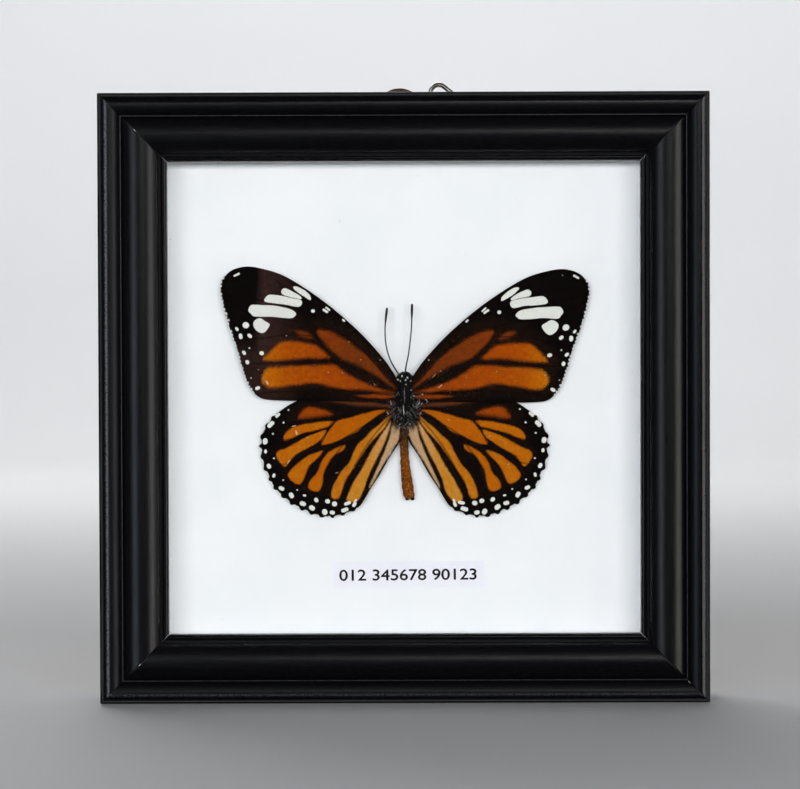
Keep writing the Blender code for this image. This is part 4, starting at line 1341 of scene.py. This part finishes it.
def add_hairs():
    rng = random.Random(7)
    body, tail = THORAX_SECTIONS, ABDOMEN_SECTIONS
    black = hair("black_hair", (0.0012, 0.0012, 0.0012), (0.006, 0.0055, 0.0055))
    grey = hair("grey_hair", (0.03, 0.03, 0.028), (0.36, 0.36, 0.34))
    silver = hair("silver_hair", (0.3, 0.31, 0.33), (0.7, 0.72, 0.75))
    rust = hair("rust_hair", (0.07, 0.014, 0.006), (0.34, 0.16, 0.13))
    gold = hair("gold_hair", (0.16, 0.036, 0.002), (0.5, 0.24, 0.06))
    buff = hair("buff_hair", (0.35, 0.25, 0.15), (0.66, 0.56, 0.44))
    brown = hair("waist_hair", (0.012, 0.006, 0.004), (0.13, 0.07, 0.035))
    roots = coat_roots(rng, body, (-4.6, 4.4), 1700, (0.5, 1.2), 0.35, 0.2)
    strands("thorax_fur_black", roots, "dark_body", black)
    roots = coat_roots(rng, body, (-4.8, -0.2), 150, (0.4, 1.2), 0.5, 0.5)
    roots += coat_roots(rng, body, (-0.2, 3.4), 36, (0.4, 1.1), 0.4, 0.18)
    strands("thorax_fur_grey", roots, "dark_body", grey, 0.034)
    roots = [root for row in SILVER_TUFTS for root in tuft(rng, *row)]
    strands("silver_tufts", roots, "dark_body", silver, 0.032)
    roots = wing_base_roots(rng, 26, (0.8, 2.2), -4.2, 1.6)
    strands("wing_base_fur_grey", roots, "dark_body", grey, 0.035)
    roots = wing_base_roots(rng, 64, (1.2, 3.2), -2.6, 1.8)
    strands("wing_base_fur_rust", roots, "forewing", rust, 0.035)
    roots = wing_base_roots(rng, 520, (0.5, 1.8), -4.4, 4.0)
    strands("wing_base_fur_black", roots, "dark_body", black)
    roots = coat_roots(rng, HEAD_SECTIONS, (3.9, 6.7), 420, (0.2, 0.5), 0.8, 0.5)
    strands("head_fur", roots, "dark_body", black)
    roots = coat_roots(rng, tail, (-6.9, -4.6), 210, (0.4, 1.1), 0.5, 0.8)
    for side in SIDES.values():
        roots += tuft(rng, side * 1.5, -4.4, 9.0, 0.3, (side * 0.45, -0.1, -1.0), 34, (0.5, 1.6))
    strands("waist_fur", roots, "abdomen", brown, 0.03)
    roots = coat_roots(rng, tail, (-20.0, -7.6), 420, (0.15, 0.36), 0.4, 0.35)
    strands("abdomen_fur", roots, "abdomen", gold, 0.03)
    strands("margin_fur", margin_roots(rng, 260), "hindwing", buff, 0.02)


def add_highlight_streak():
    """Pale hairs down the middle of the thorax, coloured as a painted highlight where its dorsal hairs
    would mirror the light: a faint length above a bright one.
    """
    # Painted highlight: these pale hair colours stand in for light mirrored along the thorax's middle.
    bright = hair("highlight_streak_hair", (0.45, 0.46, 0.48), (0.72, 0.74, 0.77))
    faint = hair("faint_highlight_hair", (0.1, 0.1, 0.11), (0.34, 0.35, 0.37))
    lengths = (("faint", faint, 3.5, 0.8, 0.05, 0.0, 34), ("bright", bright, -0.2, -1.9, -0.22, 0.09, 70))
    rng = random.Random(21)
    for name, material, top, end, x, slant, count in lengths:
        roots = []
        for _ in range(count):
            up = rng.uniform(end, top)
            _, _, half_depth, height = section_at(THORAX_SECTIONS, up)
            across = x + slant * (top - up) + rng.gauss(0, 0.045)
            place = (across, BACK_Y - height - half_depth - 0.05, BODY_Z + up)
            roots.append((place, (rng.gauss(0, 0.05), -0.2, -1), rng.uniform(0.3, 0.6), (0, 0.1, 0)))
        strands(f"thorax_highlight_streak_{name}", roots, "dark_body", material, 0.026)


def add_white_tufts():
    """Small tufts of white scales that stand out of the fur where the head and thorax have dots."""
    rng = random.Random(5)
    roots = []
    for sections, dots in ((HEAD_SECTIONS, HEAD_DOTS), (THORAX_SECTIONS, THORAX_DOTS)):
        for x, up, radius in dots:
            centre, half_width, half_depth, height = section_at(sections, up)
            aside = max(-0.95, min(0.95, (x - centre) / half_width))
            front = BACK_Y - height - half_depth * math.sqrt(1 - aside ** 2)
            for _ in range(round(150 * radius)):
                turn, reach = rng.uniform(0, 2 * math.pi), radius * math.sqrt(rng.random())
                place = (x + reach * math.cos(turn), front + 0.08, BODY_Z + up + reach * math.sin(turn))
                direction = (aside + rng.gauss(0, 0.2), -1.6, -0.5)
                roots.append((place, direction, rng.uniform(0.3, 0.42), (0, 0, -0.05)))
    white = hair("tuft_scales", (0.7, 0.71, 0.7), (0.86, 0.86, 0.85))
    strands("white_tufts", roots, "dark_body", white, 0.05)


def add_body():
    black = insect_skin("black_skin", ((0.3, (0.002, 0.0018, 0.0018)), (0.6, (0.006, 0.0055, 0.0055)),
                                       (0.8, (0.018, 0.017, 0.018))), 1.6)
    brown = insect_skin("abdomen_skin", ((0.36, (0.05, 0.009, 0.001)), (0.46, (0.15, 0.033, 0.001)),
                                         (0.55, (0.24, 0.066, 0.001)), (0.66, (0.46, 0.2, 0.03))), 3.0)
    thorax = loft("thorax_skin", THORAX_SECTIONS, "dark_body", "thorax", 0.1, 1.0)
    head = loft("head_skin", HEAD_SECTIONS, "dark_body", "head", 0.05, 5.0)
    abdomen = loft("abdomen_skin", ABDOMEN_SECTIONS, "abdomen", "abdomen", 0.09, 9.0, 0.045)
    for piece, dots, skin in ((thorax, THORAX_DOTS, black), (head, HEAD_DOTS, black), (abdomen, (), brown)):
        set_dots(piece, dots)
        coat(piece, skin)
    set_dusk(abdomen)
    lens = eye_lens()
    horn = two_tone("antenna_horn", (3.0, 2.0), (0.3, 0.7), (0.006, 0.005, 0.005),
                    (0.022, 0.019, 0.018), Roughness=0.45)
    for name, side in SIDES.items():
        add_ball(f"eye_{name}", 0.15 + side * 1.42, 7.7, 5.35, (0.42, 0.8, 0.8), 4, lens)
        add_palp(name, side, black)
        set_dots(add_ball(f"tail_lobe_{name}", 1.12 + side * 0.54, 7.25, -20.05, (0.46, 0.62, 0.36), 3,
                          black, 0.05))
        add_antenna(name, horn)
    add_hairs()
    add_highlight_streak()
    add_white_tufts()


# ---------------------------------------------------------------- stage

def add_camera():
    """The viewing angle: square on, a little above the frame's middle, looking slightly down."""
    azimuth, elevation, roll = (math.radians(v) for v in (-0.171, 1.190, -0.194))
    forward = Vector((math.sin(azimuth) * math.cos(elevation),
                      math.cos(azimuth) * math.cos(elevation), -math.sin(elevation)))
    right = Vector((math.cos(azimuth), -math.sin(azimuth), 0))
    up = right.cross(forward)
    rolled_right = math.cos(roll) * right + math.sin(roll) * up
    rolled_up = math.cos(roll) * up - math.sin(roll) * right
    camera = add_object("camera", bpy.data.cameras.new("camera"))
    camera.data.sensor_width = 36
    camera.data.lens = 128.37
    turn = Matrix((rolled_right, rolled_up, -forward)).transposed().to_4x4()
    camera.matrix_world = Matrix.Translation((0.0009, -0.6, 0.0765)) @ turn
    bpy.context.scene.camera = camera


def look_along(thing, direction):
    thing.rotation_euler = direction.to_track_quat("-Z", "Y").to_euler()


def add_light(name, azimuth, elevation, distance, size, power, colour, gloss_only=False):
    """A soft rectangular light that looks at the frame's middle. Azimuth 0 is in front of it."""
    a, e = math.radians(azimuth), math.radians(elevation)
    away = Vector((math.sin(a) * math.cos(e), -math.cos(a) * math.cos(e), math.sin(e)))
    light = add_object(name, bpy.data.lights.new(name, "AREA"))
    light.data.shape = "RECTANGLE"
    light.data.size, light.data.size_y = size
    light.data.energy = power
    light.data.color = colour
    light.location = Vector((0, 0, FRAME_SIDE / 2 * MM)) + away * distance
    look_along(light, -away)
    light.visible_camera = False
    light.visible_diffuse = not gloss_only
    return light


def hide_in_glass(thing):
    """Keeps a light or the floor out of mirror images, the pane's back face's among them."""
    thing.visible_glossy = False
    thing.visible_transmission = False


def add_lights():
    """Two tall windows at the sides and a small glint, which the moulding and the ring mirror, a
    wide soft light in front, and one light each for the back and the backdrop."""
    add_light("left_window", -33, 4, 1.25, (0.5, 1.3), 2.7, (0.8, 0.89, 1.0))
    add_light("right_window", 55, 4, 1.25, (0.62, 1.3), 5.1, (1.0, 0.97, 0.93), True)
    add_light("metal_glint", 12, 14, 1.2, (0.5, 0.2), 0.85, (1.0, 0.98, 0.95), True)
    hide_in_glass(add_light("front_fill", 0, 4.5, 2.2, (2.3, 0.3), 49.0, (1.0, 0.98, 0.992)))
    add_light("back_fill", 200, 40, 1.2, (0.9, 0.6), 3.4, (1.0, 0.98, 0.96))
    wash = add_light("backdrop_wash", 180, 60, 1.3, (1.6, 0.3), 14.5, (0.97, 0.985, 1.0))
    look_along(wash, Vector((0, 1.0, -0.42)))


def add_floor():
    """A pale floor that rises into a curved backdrop behind the frame. Lengths are in metres."""
    half_width, front, bend, radius, top, clearance = 5.0, -5.0, 1.1, 0.9, 3.0, 0.0003
    profile = [(front, 0.0), (bend, 0.0)]
    profile += [(bend + radius * math.sin(t), radius * (1 - math.cos(t)))
                for t in np.linspace(0, math.pi / 2, 17)[1:]]
    profile.append((bend + radius, top))
    points = [(x, y, z - clearance) for x in (-half_width, half_width) for y, z in profile]
    size = len(profile)
    mesh = bpy.data.meshes.new("floor")
    mesh.from_pydata(points, [], [(i, i + size, i + size + 1, i + 1) for i in range(size - 1)])
    mesh.shade_smooth()
    floor = add_object("floor", mesh)
    finish = Finish("pale_floor", Roughness=0.8)
    finish.set(Base_Color=finish.noise(0.004, 3.0).between((0.84, 0.85, 0.86), (0.88, 0.89, 0.9)))
    coat(floor, finish.material)
    hide_in_glass(floor)


def set_world():
    """Pale behind and dim in front, where the glass and the moulding would mirror it."""
    world = bpy.data.worlds.new("studio")
    bpy.context.scene.world = world
    sky = Tree(world)
    depth = sky.node("SeparateXYZ", "Y", {0: sky.node("TexCoord", "Generated", {})})
    light = sky.nodes["Background"].inputs
    sky.feed(light["Color"], (0.96, 0.98, 1.0))
    sky.feed(light["Strength"], depth.ramp(0.0, 0.75, 0.012, 0.75))


def clear_start_objects():
    kept = {*NODES.values(), *frame["bodies"].values()}
    for obj in list(bpy.data.objects):
        if obj not in kept:
            bpy.data.objects.remove(obj)


def main():
    clear_start_objects()
    bpy.context.scene.view_settings.view_transform = "Standard"
    add_camera()
    add_lights()
    add_floor()
    set_world()
    add_moulding()
    finish_sheets()
    add_digits()
    add_hanger()
    add_wings()
    add_body()


main()
